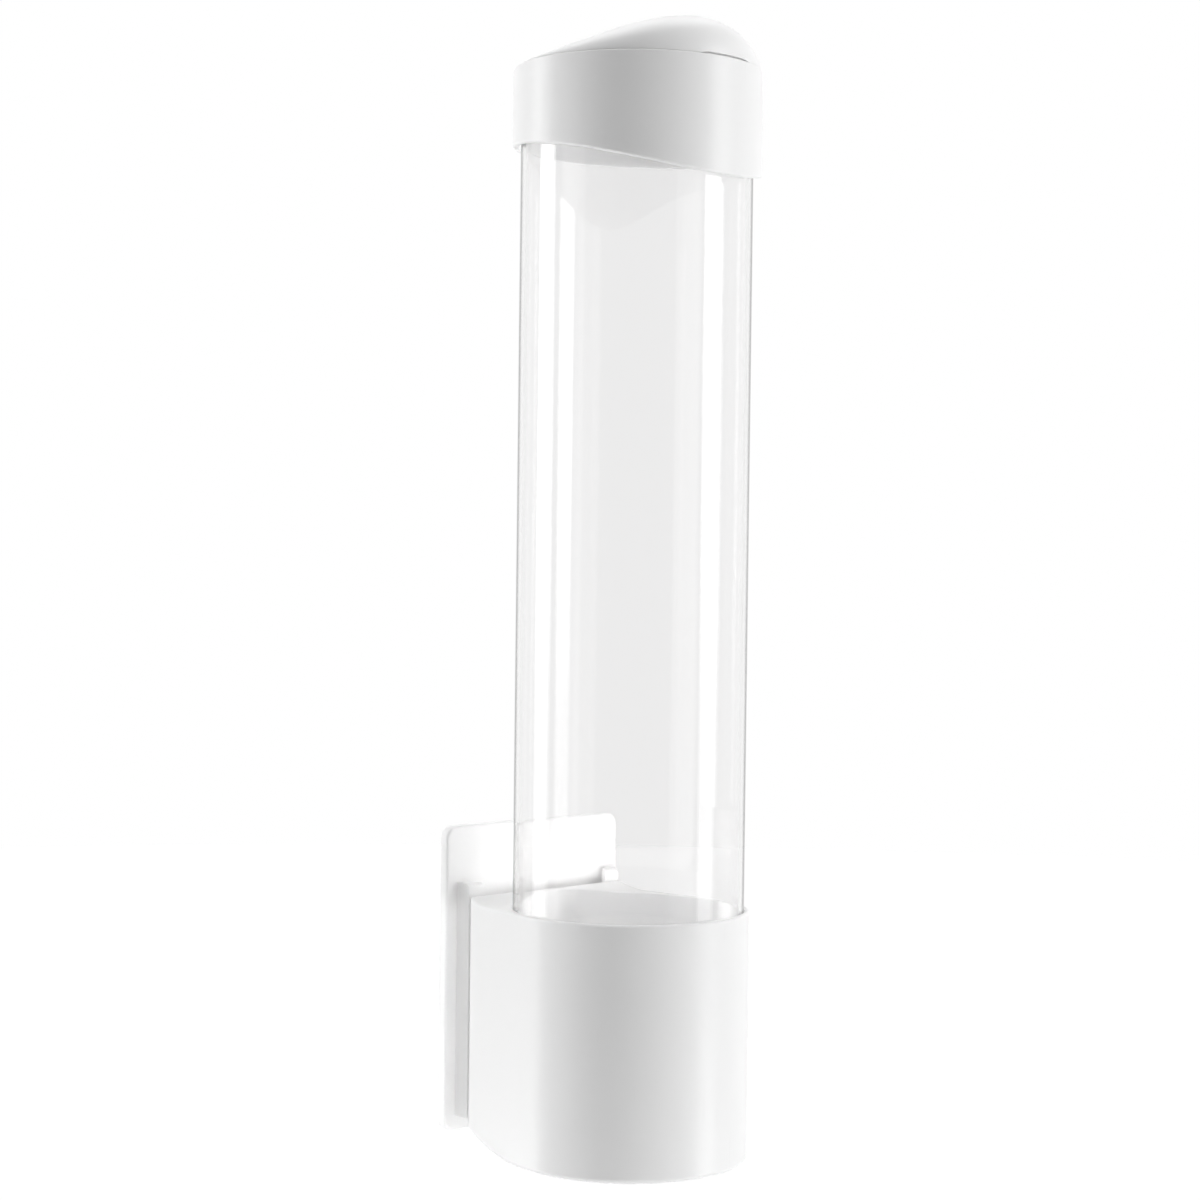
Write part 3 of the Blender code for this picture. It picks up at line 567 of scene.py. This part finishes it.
def makeHingePin(hinge):
    half = hinge["lidHalf"] + hinge["gap"] * 2 + hinge["collarWidth"]
    bm = bmesh.new()
    addHingeCylinder(bm, hinge["pin"], -half, half, hinge["pinSegments"], hinge["pinRound"])
    finishPiece("hingePin", bm, zincSteel, "cap", ["lid_hinge_pin"])


# Base housing

baseSizes = {"radius": 0.0470, "rearFromAxis": 0.0468, "rearHalf": 0.0414, "cornerRadius": 0.0026,
             "leastCorner": 0.0004, "wall": 0.0022, "topRound": 0.0012, "bottomRound": 0.0020, "roundSteps": 6,
             "height": 0.0966, "rearTopRise": 0.0031, "rearTopRun": 0.0160, "rearTopCuts": 10,
             "rearBottomRise": 0.0085, "rearBottomRun": 0.0340, "rearBottomCuts": 20, "riseZone": 0.004,
             "socketRadius": 0.0452, "socketLead": 0.0004, "socketPast": 0.0040, "ledgeRadius": 0.0400,
             "ledge": 0.0030, "gasketGap": 0.0003, "cavityPast": 0.004, "arcSteps": 96, "cornerSteps": 8,
             "bossRadius": 0.0034, "bossReach": 0.0042, "screwHole": 0.0016, "screwDepth": 0.0058,
             "ringScrewHole": 0.0012, "screwAcross": 0.0180, "screwsBelowTop": 0.0380,
             "screwsAboveLow": 0.0246, "ringScrewInset": 0.0020, "socketSegments": 192, "waySegments": 160,
             "bossSegments": 40, "holeSegments": 24}
baseTop = baseLow.z + baseSizes["height"]
ledgeTop = gasketLow.z - baseSizes["gasketGap"]
ledgeLow = ledgeTop - baseSizes["ledge"]
backScrewHeights = (baseTop - baseSizes["screwsBelowTop"], baseLow.z + baseSizes["screwsAboveLow"])
backScrewPlaces = [(x, z) for z in backScrewHeights for x in (-baseSizes["screwAcross"], baseSizes["screwAcross"])]
ringRadius = (ringHigh.x - ringLow.x) / 2
ringScrewReach = ringRadius - baseSizes["ringScrewInset"]
ringScrewPlaces = [(ringScrewReach * math.cos(turn), axisY + ringScrewReach * math.sin(turn))
                   for turn in (0.0, math.pi / 2, math.pi, math.pi * 1.5)]


def addBaseOutline(bm, inset, height, sizes):
    # The plan is one front arc, two straight flanks and two small rear corners
    radius = sizes["radius"] - inset
    corner = max(sizes["cornerRadius"] - inset, sizes["leastCorner"])
    taper = (math.asin(sizes["radius"] / math.hypot(sizes["rearFromAxis"], sizes["rearHalf"]))
             - math.atan2(sizes["rearHalf"], sizes["rearFromAxis"]))
    cornerY = axisY + sizes["rearFromAxis"] - inset - corner
    cornerX = (radius - corner - math.sin(taper) * (cornerY - axisY)) / math.cos(taper)
    upward = (0.0, 0.0, 1.0)
    start = bm.verts.new((radius * math.cos(taper), axisY + radius * math.sin(taper), height))
    front = bmesh.ops.spin(bm, geom=[start], cent=(0.0, axisY, 0.0), axis=upward,
                           angle=-(math.pi + 2 * taper), steps=sizes["arcSteps"], use_duplicate=False)
    end = onlyVerts(front["geom_last"])[0]
    ends = []
    for side, tangent in ((1, start), (-1, end)):
        first = bm.verts.new((side * (cornerX + corner * math.cos(taper)),
                              cornerY + corner * math.sin(taper), height))
        bm.edges.new((tangent, first))
        arc = bmesh.ops.spin(bm, geom=[first], cent=(side * cornerX, cornerY, height), axis=upward,
                             angle=side * (math.pi / 2 - taper), steps=sizes["cornerSteps"],
                             use_duplicate=False)
        ends += onlyVerts(arc["geom_last"])
    bm.edges.new(ends)
    return bmesh.ops.contextual_create(bm, geom=bm.edges[:])["faces"]


def baseSolid(inset, low, high, sizes):
    bm = bmesh.new()
    pushFaces(bm, addBaseOutline(bm, inset, low, sizes), (0.0, 0.0, high - low))
    bmesh.ops.recalc_face_normals(bm, faces=bm.faces)
    return bm


def rearRise(behind, rise, run):
    # Nothing is raised up to one run before the rear face, and from there a parabola leads up to the full rise
    return rise * (max(0.0, run + behind) / run) ** 2


def makeBase(sizes):
    low, top = baseLow.z, baseTop
    bm = baseSolid(0.0, low, top, sizes)
    roundEdges(bm, lambda co: co.z > top - tiny, sizes["topRound"], sizes["roundSteps"])
    roundEdges(bm, lambda co: co.z < low + tiny, sizes["bottomRound"], sizes["roundSteps"])
    rearY = axisY + sizes["rearFromAxis"]
    for run, count in ((sizes["rearBottomRun"], sizes["rearBottomCuts"]),
                       (sizes["rearTopRun"], sizes["rearTopCuts"])):
        for step in range(1, count + 1):
            bmesh.ops.bisect_plane(bm, geom=bm.verts[:] + bm.edges[:] + bm.faces[:], dist=tiny,
                                   plane_co=(0.0, rearY - run * step / count, 0.0), plane_no=(0.0, 1.0, 0.0))
    cavity = baseSolid(sizes["wall"], low - sizes["cavityPast"], ledgeLow, sizes)
    mouth, lead, past = sizes["socketRadius"], sizes["socketLead"], sizes["socketPast"]
    socket = turned([(0.0, ledgeTop), (mouth, ledgeTop), (mouth, top - lead), (mouth + lead + past, top + past),
                     (0.0, top + past)], sizes["socketSegments"], closed=False)
    way, bosses, holes = bmesh.new(), bmesh.new(), bmesh.new()
    addCylinder(way, sizes["ledgeRadius"], (0.0, axisY, ledgeLow - cutPast), (0.0, axisY, ledgeTop + cutPast),
                sizes["waySegments"])
    innerY = rearY - sizes["wall"]
    for x, z in backScrewPlaces:
        addCylinder(bosses, sizes["bossRadius"], (x, innerY + bury, z), (x, innerY - sizes["bossReach"], z),
                    sizes["bossSegments"])
        addCylinder(holes, sizes["screwHole"], (x, rearY + cutPast, z), (x, rearY - sizes["screwDepth"], z),
                    sizes["holeSegments"])
    for x, y in ringScrewPlaces:
        addCylinder(holes, sizes["ringScrewHole"], (x, y, ledgeLow - cutPast), (x, y, ledgeTop + cutPast),
                    sizes["holeSegments"])
    bm = combined(bm, [("DIFFERENCE", cavity), ("DIFFERENCE", socket), ("DIFFERENCE", way),
                       ("UNION", bosses), ("DIFFERENCE", holes)])
    for vert in bm.verts:
        behind = vert.co.y - rearY
        if vert.co.z > top - sizes["riseZone"]:
            vert.co.z += rearRise(behind, sizes["rearTopRise"], sizes["rearTopRun"])
        elif vert.co.z < low + sizes["riseZone"]:
            vert.co.z += rearRise(behind, sizes["rearBottomRise"], sizes["rearBottomRun"])
    finishPiece("baseHousing", bm, whiteGloss, "dispenser", ["base_housing"])


# Wall plate with its rails

plateSizes = {"thickness": 0.0038, "cornerRadius": 0.0050, "cornerSteps": 8, "edgeRound": 0.0010,
              "edgeSteps": 5, "railFront": -0.0107, "railLipBack": -0.0083, "railOuter": 0.0411,
              "railInner": 0.0381, "railLip": 0.0331, "railTop": baseTop + 0.0077,
              "railLow": plateLow.z + 0.0059, "leadRound": 0.0021, "leadSteps": 6, "railRound": 0.0004,
              "railRoundSteps": 3, "railRoundZone": 0.0025, "stop": 0.0036, "stopInset": 0.0003,
              "screwAcross": 0.0240, "screwUp": 0.0180, "screwDown": -0.0360, "hole": 0.00225,
              "head": 0.00425, "headDepth": 0.0022, "holeSegments": 40}


def makeWallPlate(sizes):
    thickness, front = sizes["thickness"], sizes["railFront"]
    low, top = sizes["railLow"], sizes["railTop"]
    bm = bmesh.new()
    addBox(bm, (plateLow.x, -thickness, plateLow.z), (plateHigh.x, 0.0, plateHigh.z))
    corners = [edge for edge in bm.edges if abs(edge.verts[0].co.y - edge.verts[1].co.y) > tiny]
    bevelEdges(bm, corners, sizes["cornerRadius"], sizes["cornerSteps"])
    roundEdges(bm, lambda co: co.y < -thickness / 2, sizes["edgeRound"], sizes["edgeSteps"])
    steps = []
    rootY = -thickness + bury
    for side in (-1, 1):
        outer, inner, lip = side * sizes["railOuter"], side * sizes["railInner"], side * sizes["railLip"]
        outline = [(outer, rootY), (outer, front), (lip, front), (lip, sizes["railLipBack"]),
                   (inner, sizes["railLipBack"]), (inner, rootY)]
        rail = prism([(x, y, low) for x, y in outline], (0.0, 0.0, top - low))
        roundEdges(rail, lambda co: co.z > top - tiny and co.y < front + tiny, sizes["leadRound"],
                   sizes["leadSteps"])
        roundEdges(rail, lambda co: abs(co.x - outer) < tiny and co.y < front + sizes["railRoundZone"],
                   sizes["railRound"], sizes["railRoundSteps"])
        steps.append(("UNION", rail))
    stop = bmesh.new()
    addBox(stop, (-sizes["railInner"] - bury, sizes["railLipBack"], low + sizes["stopInset"]),
           (sizes["railInner"] + bury, rootY, low + sizes["stop"]))
    steps.append(("UNION", stop))
    holes = bmesh.new()
    flare = (sizes["head"] - sizes["hole"]) / sizes["headDepth"]
    profile = [(0.0, -cutPast), (sizes["hole"], -cutPast), (sizes["hole"], thickness - sizes["headDepth"]),
               (sizes["head"] + flare * cutPast, thickness + cutPast), (0.0, thickness + cutPast)]
    for x in (-sizes["screwAcross"], sizes["screwAcross"]):
        for z in (sizes["screwUp"], sizes["screwDown"]):
            addTurned(holes, profile, sizes["holeSegments"], (x, 0.0, z), (0.0, -1.0, 0.0))
    steps.append(("DIFFERENCE", holes))
    finishPiece("wallPlate", combined(bm, steps), whiteSatin, "wall_mount", ["wall_plate"])


# Slider on the base's rear

slideSizes = {"stem": 0.0328, "flange": 0.0378, "stemFront": -0.0107, "flangeFront": -0.0080,
              "flangeBack": -0.0041, "lead": 0.0012, "leadSteps": 5, "hole": 0.0016, "head": 0.0029,
              "recess": 0.0022, "holeSegments": 36}


def makeSlide(sizes):
    front, step, back = sizes["stemFront"], sizes["flangeFront"], sizes["flangeBack"]
    stem, flange = sizes["stem"], sizes["flange"]
    outline = [(-stem, front), (stem, front), (stem, step), (flange, step), (flange, back), (-flange, back),
               (-flange, step), (-stem, step)]
    bm = prism([(x, y, slideLow.z) for x, y in outline], (0.0, 0.0, slideHigh.z - slideLow.z))
    roundEdges(bm, lambda co: co.z < slideLow.z + tiny and co.y > back - tiny, sizes["lead"],
               sizes["leadSteps"])
    holes = bmesh.new()
    depth = back - front
    seat = depth - sizes["recess"]
    profile = [(0.0, -cutPast), (sizes["hole"], -cutPast), (sizes["hole"], seat), (sizes["head"], seat),
               (sizes["head"], depth + cutPast), (0.0, depth + cutPast)]
    for x, z in backScrewPlaces:
        addTurned(holes, profile, sizes["holeSegments"], (x, front, z), (0.0, 1.0, 0.0))
    bm = combined(bm, [("DIFFERENCE", holes)])
    finishPiece("backSlide", bm, whiteSatin, "dispenser", ["back_slide"])


# Finger ring

ringSizes = {"width": 0.0052, "thickness": 0.0030, "edge": 0.0003, "edgeSteps": 3, "segments": 160,
             "cheekStart": 0.0073, "cheekEnd": 0.0093, "cheekInner": 0.039417, "cheekOuter": 0.043217,
             "cheekDrop": 0.0046, "cheekRound": 0.0005, "cheekSteps": 4, "barHole": 0.0015,
             "barHoleSegments": 28, "screwHole": 0.0012, "screwHoleSegments": 24, "pivotRadius": 0.041317}
ringUnder = ringLow.z + ringSizes["cheekDrop"]
ringTop = ringUnder + ringSizes["thickness"]
pivotZ = jointPlace["finger_1_flex"][2]
fingerTurns = [math.pi / 4 + math.tau * index / 4 for index in range(4)]


def aroundAxis(turn, lift=0.0):
    return Matrix.Translation((0.0, axisY, lift)) @ Matrix.Rotation(turn, 4, "Z")


def makeRing(sizes):
    bm = turnedBand(ringRadius - sizes["width"], ringRadius, ringUnder, ringTop, sizes["edge"],
                    sizes["edgeSteps"], sizes["segments"])
    cheeks, holes = bmesh.new(), bmesh.new()
    for turn in fingerTurns:
        for side in (-1, 1):
            near, far = sorted((side * sizes["cheekStart"], side * sizes["cheekEnd"]))
            made = addBox(cheeks, (sizes["cheekInner"], near, ringLow.z),
                          (sizes["cheekOuter"], far, ringUnder + bury))
            bmesh.ops.transform(cheeks, matrix=aroundAxis(turn), verts=made)
        along = Vector((-math.sin(turn), math.cos(turn), 0.0)) * (sizes["cheekEnd"] + cutPast)
        middle = aroundAxis(turn, pivotZ) @ Vector((sizes["pivotRadius"], 0.0, 0.0))
        addCylinder(holes, sizes["barHole"], middle - along, middle + along, sizes["barHoleSegments"])
    for x, y in ringScrewPlaces:
        addCylinder(holes, sizes["screwHole"], (x, y, ringUnder - cutPast), (x, y, ringTop + cutPast),
                    sizes["screwHoleSegments"])
    upright = [edge for edge in cheeks.edges if abs(edge.verts[0].co.z - edge.verts[1].co.z) > tiny]
    bevelEdges(cheeks, upright, sizes["cheekRound"], sizes["cheekSteps"])
    bm = combined(bm, [("UNION", cheeks), ("DIFFERENCE", holes)])
    finishPiece("fingerRing", bm, whiteSatin, "dispenser", ["finger_ring"])


# Sprung fingers

fingerSizes = {"width": 0.0140, "thickness": 0.0014, "drop": 0.0130, "reach": 0.0056, "power": 1.6,
               "bar": 0.0012, "barRound": 0.0002, "tip": 0.0011, "tipRound": 0.0003, "tipInset": 0.0002,
               "steps": 18, "edge": 0.0002, "edgeSteps": 2, "sharpAngle": math.radians(40.0), "segments": 28}


def fingerMiddle(share, sizes):
    return Vector((-sizes["reach"] * share ** sizes["power"], -sizes["drop"] * share))


def makeFinger(number, turn, sizes, ring):
    outward, inward = [], []
    steps = sizes["steps"]
    for step in range(steps + 1):
        before = fingerMiddle(max(step - 1, 0) / steps, sizes)
        after = fingerMiddle(min(step + 1, steps) / steps, sizes)
        slope = (after - before).normalized()
        across = Vector((-slope.y, slope.x)) * sizes["thickness"] / 2
        outward.append(fingerMiddle(step / steps, sizes) + across)
        inward.append(fingerMiddle(step / steps, sizes) - across)
    half = sizes["width"] / 2
    bm = prism([(point.x, -half, point.y) for point in inward + outward[::-1]], (0.0, sizes["width"], 0.0))
    bmesh.ops.recalc_face_normals(bm, faces=bm.faces)
    sharp = [edge for edge in bm.edges
             if len(edge.link_faces) == 2 and edge.calc_face_angle(0.0) > sizes["sharpAngle"]]
    bevelEdges(bm, sharp, sizes["edge"], sizes["edgeSteps"])
    bars = bmesh.new()
    tip = fingerMiddle(1.0, sizes)
    barHalf, tipHalf = ring["cheekEnd"], half - sizes["tipInset"]
    addCylinder(bars, sizes["bar"], (0.0, -barHalf, 0.0), (0.0, barHalf, 0.0), sizes["segments"],
                sizes["barRound"])
    addCylinder(bars, sizes["tip"], (tip.x, -tipHalf, tip.y), (tip.x, tipHalf, tip.y), sizes["segments"],
                sizes["tipRound"])
    bm = combined(bm, [("UNION", bars)])
    place = aroundAxis(turn, pivotZ) @ Matrix.Translation((ring["pivotRadius"], 0.0, 0.0))
    bmesh.ops.transform(bm, matrix=place, verts=bm.verts)
    finishPiece(f"cupFinger{number}", bm, fingerSoft, f"finger_{number}", [f"cup_finger_{number}"])


# Screws with cross recesses

screwSizes = {
    "back": {"shank": 0.0013, "head": 0.0026, "headHeight": 0.0016, "length": 0.0105, "cross": 0.0007},
    "ring": {"shank": 0.0009, "head": 0.0017, "headHeight": 0.0012, "length": 0.0060, "cross": 0.0005},
    "shares": {"rim": 0.45, "point": 0.6, "crossReach": 0.62, "crossFloor": 0.35},
    "domeSteps": 7, "segments": 40}


def makeScrew(name, kind, seat, outward, replaced):
    sizes, shares, count = screwSizes[kind], screwSizes["shares"], screwSizes["domeSteps"]
    shank, head, height = sizes["shank"], sizes["head"], sizes["headHeight"]
    dome = [(head * math.cos(turn), height * (shares["rim"] + (1 - shares["rim"]) * math.sin(turn)))
            for turn in (math.pi / 2 * step / count for step in range(count))]
    profile = [(0.0, -sizes["length"]), (shank * shares["point"], -sizes["length"]),
               (shank, -sizes["length"] + shank), (shank, 0.0), (head, 0.0)] + dome + [(0.0, height)]
    bm = bmesh.new()
    addTurned(bm, profile, screwSizes["segments"])
    reach, half = head * shares["crossReach"], sizes["cross"] / 2
    cuts = []
    for x, y in ((reach, half), (half, reach)):
        recess = bmesh.new()
        addBox(recess, (-x, -y, height * shares["crossFloor"]), (x, y, height + cutPast))
        cuts.append(("DIFFERENCE", recess))
    bm = combined(bm, cuts)
    bmesh.ops.transform(bm, matrix=facing(seat, outward), verts=bm.verts)
    finishPiece(name, bm, zincSteel, "dispenser", [replaced])


makeTube(tubeSizes)
makeGasket(gasketSizes)
print("tube and gasket made")
makeCollar(collarSizes, hingeSizes)
makeLid(lidSizes, collarSizes, hingeSizes)
makeHingePin(hingeSizes)
print("cap made")
makeBase(baseSizes)
makeWallPlate(plateSizes)
makeSlide(slideSizes)
print("base and wall plate made")
makeRing(ringSizes)
for number, turn in enumerate(fingerTurns, 1):
    makeFinger(number, turn, fingerSizes, ringSizes)
for number, (x, z) in enumerate(backScrewPlaces, 1):
    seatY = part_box(f"back_screw_{number}")[1].y - screwSizes["back"]["headHeight"]
    makeScrew(f"backScrew{number}", "back", (x, seatY, z), (0.0, 1.0, 0.0), f"back_screw_{number}")
for number, (x, y) in enumerate(ringScrewPlaces, 1):
    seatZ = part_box(f"ring_screw_{number}")[0].z + screwSizes["ring"]["headHeight"]
    makeScrew(f"ringScrew{number}", "ring", (x, y, seatZ), (0.0, 0.0, -1.0), f"ring_screw_{number}")
print("fingers and screws made")


# Camera

cameraSizes = {"lens": 75.0, "sensor": 36.0, "distance": 0.970, "height": 0.1679,
               "aroundFromFront": math.radians(45.0), "turnLeft": math.radians(0.73),
               "tiltDown": math.radians(1.08), "roll": math.radians(0.675)}


def makeCamera(sizes):
    data = bpy.data.cameras.new("photoCamera")
    data.lens = sizes["lens"]
    data.sensor_width = sizes["sensor"]
    camera = linked("photoCamera", data)
    around = sizes["aroundFromFront"]
    place = Vector((-sizes["distance"] * math.sin(around), axisY - sizes["distance"] * math.cos(around),
                    sizes["height"]))
    turn = Matrix.Rotation(sizes["turnLeft"] - around, 4, "Z")
    tilt = Matrix.Rotation(math.pi / 2 - sizes["tiltDown"], 4, "X")
    roll = Matrix.Rotation(sizes["roll"], 4, "Z")
    camera.matrix_world = Matrix.Translation(place) @ turn @ tilt @ roll
    bpy.context.scene.camera = camera


makeCamera(cameraSizes)


# Studio: softboxes that fade toward the foot, fills, hidden lamps inside the tube and beside the base,
# a pale floor, and a room that is dark at the camera and white behind the object

studio = {
    "lamps": {  # angle from the camera's side toward picture right, height, distance, width, length, power, aim
        "softboxLeft": (-98.0, 0.25, 1.1, 0.39, 1.7, 7.5, 0.25),
        "softboxRight": (80.5, 0.25, 1.1, 0.37, 1.7, 7.6, 0.25),
        "fillLeft": (-64.0, 0.25, 1.1, 0.5, 1.7, 0.9, 0.25),
        "fillRight": (52.0, 0.25, 1.1, 0.5, 1.7, 1.0, 0.25),
        "softboxTop": (180.0, 1.2, 0.3, 0.8, 0.8, 3.0, 0.35),
        "lowFill": (0.0, -0.28, 0.24, 0.3, 0.1, 0.17, -0.02),
    },
    "fade": {  # heights where the fade starts and ends, and the strengths there
        "lamps": ("softboxLeft", "softboxRight"),
        "body": (0.0, 0.2, 0.45, 1.0),
        "foot": (-0.25, -0.38, 0.45, 1.5),
    },
    "inside": {  # height, width, length, power
        "capGlow": (0.328, 0.04, 0.012, 0.14),
        "socketGlow": (0.026, 0.04, 0.012, 0.042),
    },
    "railBeam": {"angle": -10.0, "distance": 0.25, "aim": (-0.0470, -0.006, -0.017), "width": 0.009,
                 "length": 0.095, "power": 0.001, "spread": math.radians(4.0)},
    "floor": {"height": -1.0, "radius": 9.0, "segments": 64, "tone": (0.9, 0.9, 0.9, 1.0), "roughness": 0.9,
              "glow": 0.53},
    "room": {  # where the ramp starts and ends, and the strengths there
        "around": (-0.98, -0.35, 0.04, 0.68),
        "rear": (0.1, 0.8, 1.0, 0.5),
        "below": (-0.6, 0.0, 0.7, 1.0),
        "backdrop": (0.0, 0.3, 0.0, 1.0),
    },
}


def directionAt(angle):
    # A level direction turned from the camera's side of the object toward picture right
    around = cameraSizes["aroundFromFront"]
    toCamera = Vector((-math.sin(around), -math.cos(around), 0.0))
    toRight = Vector((math.cos(around), -math.sin(around), 0.0))
    return toCamera * math.cos(angle) + toRight * math.sin(angle)


def addAreaLamp(name, width, length, power, matrix, hidden=False):
    data = bpy.data.lights.new(name, "AREA")
    data.shape = "RECTANGLE"
    data.size = width
    data.size_y = length
    data.energy = power
    lamp = linked(name, data)
    lamp.matrix_world = matrix
    if hidden:
        lamp.visible_camera = False
        lamp.visible_glossy = False
        lamp.visible_transmission = False
    return lamp


def makeLamp(name, angle, height, distance, width, length, power, aimHeight):
    place = Vector((0.0, axisY, height)) + directionAt(math.radians(angle)) * distance
    return addAreaLamp(name, width, length, power, facing(place, place - Vector((0.0, axisY, aimHeight))))


def fadeLamp(lamp, fade):
    # The softbox gets weaker toward its foot, so its reflection fades down the tube
    lamp.data.use_nodes = True
    tree = lamp.data.node_tree
    place = tree.nodes.new("ShaderNodeNewGeometry").outputs["Position"]
    height = addNode(tree, "ShaderNodeSeparateXYZ", {0: place}).outputs["Z"]
    strength = addMath(tree, "MAXIMUM", addRamp(tree, height, *fade["body"]),
                       addRamp(tree, height, *fade["foot"]))
    feed(tree.nodes["Emission"], {"Strength": strength})


def makeInsideLamp(name, height, width, length, power):
    # A small level lamp inside the tube faces away from the camera and opens up the shade in cap and socket
    place = (Matrix.Translation((0.0, axisY, height))
             @ Matrix.Rotation(-cameraSizes["aroundFromFront"], 4, "Z")
             @ Matrix.Rotation(math.pi / 2, 4, "X"))
    addAreaLamp(name, width, length, power, place, hidden=True)


def makeBeam(name, values):
    # A narrow gridded strip lights the plate beside the base
    outward = directionAt(math.radians(values["angle"]))
    place = Vector(values["aim"]) + outward * values["distance"]
    lamp = addAreaLamp(name, values["width"], values["length"], values["power"], facing(place, outward),
                       hidden=True)
    lamp.data.spread = values["spread"]


def makeFloor(values):
    bm = bmesh.new()
    bmesh.ops.create_circle(bm, cap_ends=True, segments=values["segments"], radius=values["radius"],
                            matrix=Matrix.Translation((0.0, axisY, values["height"])))
    floor = linked("floor", meshFrom("floor", bm))
    material, tree, shader = newMaterial("paleFloor")
    feed(shader, {"Base Color": values["tone"], "Roughness": values["roughness"]})
    # The glow lifts the floor to white for the camera, glass and gloss, and leaves the shadow on it
    path = tree.nodes.new("ShaderNodeLightPath").outputs
    seen = addMath(tree, "MAXIMUM", path["Is Camera Ray"], path["Is Glossy Ray"])
    seenAll = addMath(tree, "MAXIMUM", seen, path["Is Transmission Ray"])
    strength = addMath(tree, "MULTIPLY", seenAll, values["glow"])
    light = addNode(tree, "ShaderNodeEmission", {"Strength": strength})
    added = addNode(tree, "ShaderNodeAddShader", {0: shader.outputs["BSDF"], 1: light.outputs["Emission"]})
    feed(tree.nodes["Material Output"], {"Surface": added.outputs["Shader"]})
    floor.data.materials.append(material)


def makeRoom(values):
    # The room lights the object from behind and the sides; camera, glass and gloss see it white at the back
    world = bpy.data.worlds.new("whiteRoom")
    bpy.context.scene.world = world
    world.use_nodes = True
    tree = world.node_tree
    path = tree.nodes.new("ShaderNodeLightPath").outputs
    towards = tree.nodes.new("ShaderNodeTexCoord").outputs["Generated"]
    behind = addVectorMath(tree, "DOT_PRODUCT", {0: towards, 1: -directionAt(0.0)}, "Value")
    upward = addNode(tree, "ShaderNodeSeparateXYZ", {0: towards}).outputs["Z"]
    level = addMath(tree, "MULTIPLY", addRamp(tree, behind, *values["around"]),
                    addRamp(tree, behind, *values["rear"]))
    light = addMath(tree, "MULTIPLY", level, addRamp(tree, upward, *values["below"]))
    glossSees = addMath(tree, "MULTIPLY", path["Is Glossy Ray"], addRamp(tree, behind, *values["backdrop"]))
    seen = addMath(tree, "MAXIMUM", path["Is Camera Ray"], path["Is Transmission Ray"])
    seenAll = addMath(tree, "MAXIMUM", seen, glossSees)
    feed(tree.nodes["Background"], {"Color": addMix(tree, "FLOAT", seenAll, light, 1.0), "Strength": 1.0})


for name, lampValues in studio["lamps"].items():
    lamp = makeLamp(name, *lampValues)
    if name in studio["fade"]["lamps"]:
        fadeLamp(lamp, studio["fade"])
for name, lampValues in studio["inside"].items():
    makeInsideLamp(name, *lampValues)
makeBeam("railBeam", studio["railBeam"])
makeFloor(studio["floor"])
makeRoom(studio["room"])
bpy.context.scene.view_settings.view_transform = "Standard"
print("studio set")
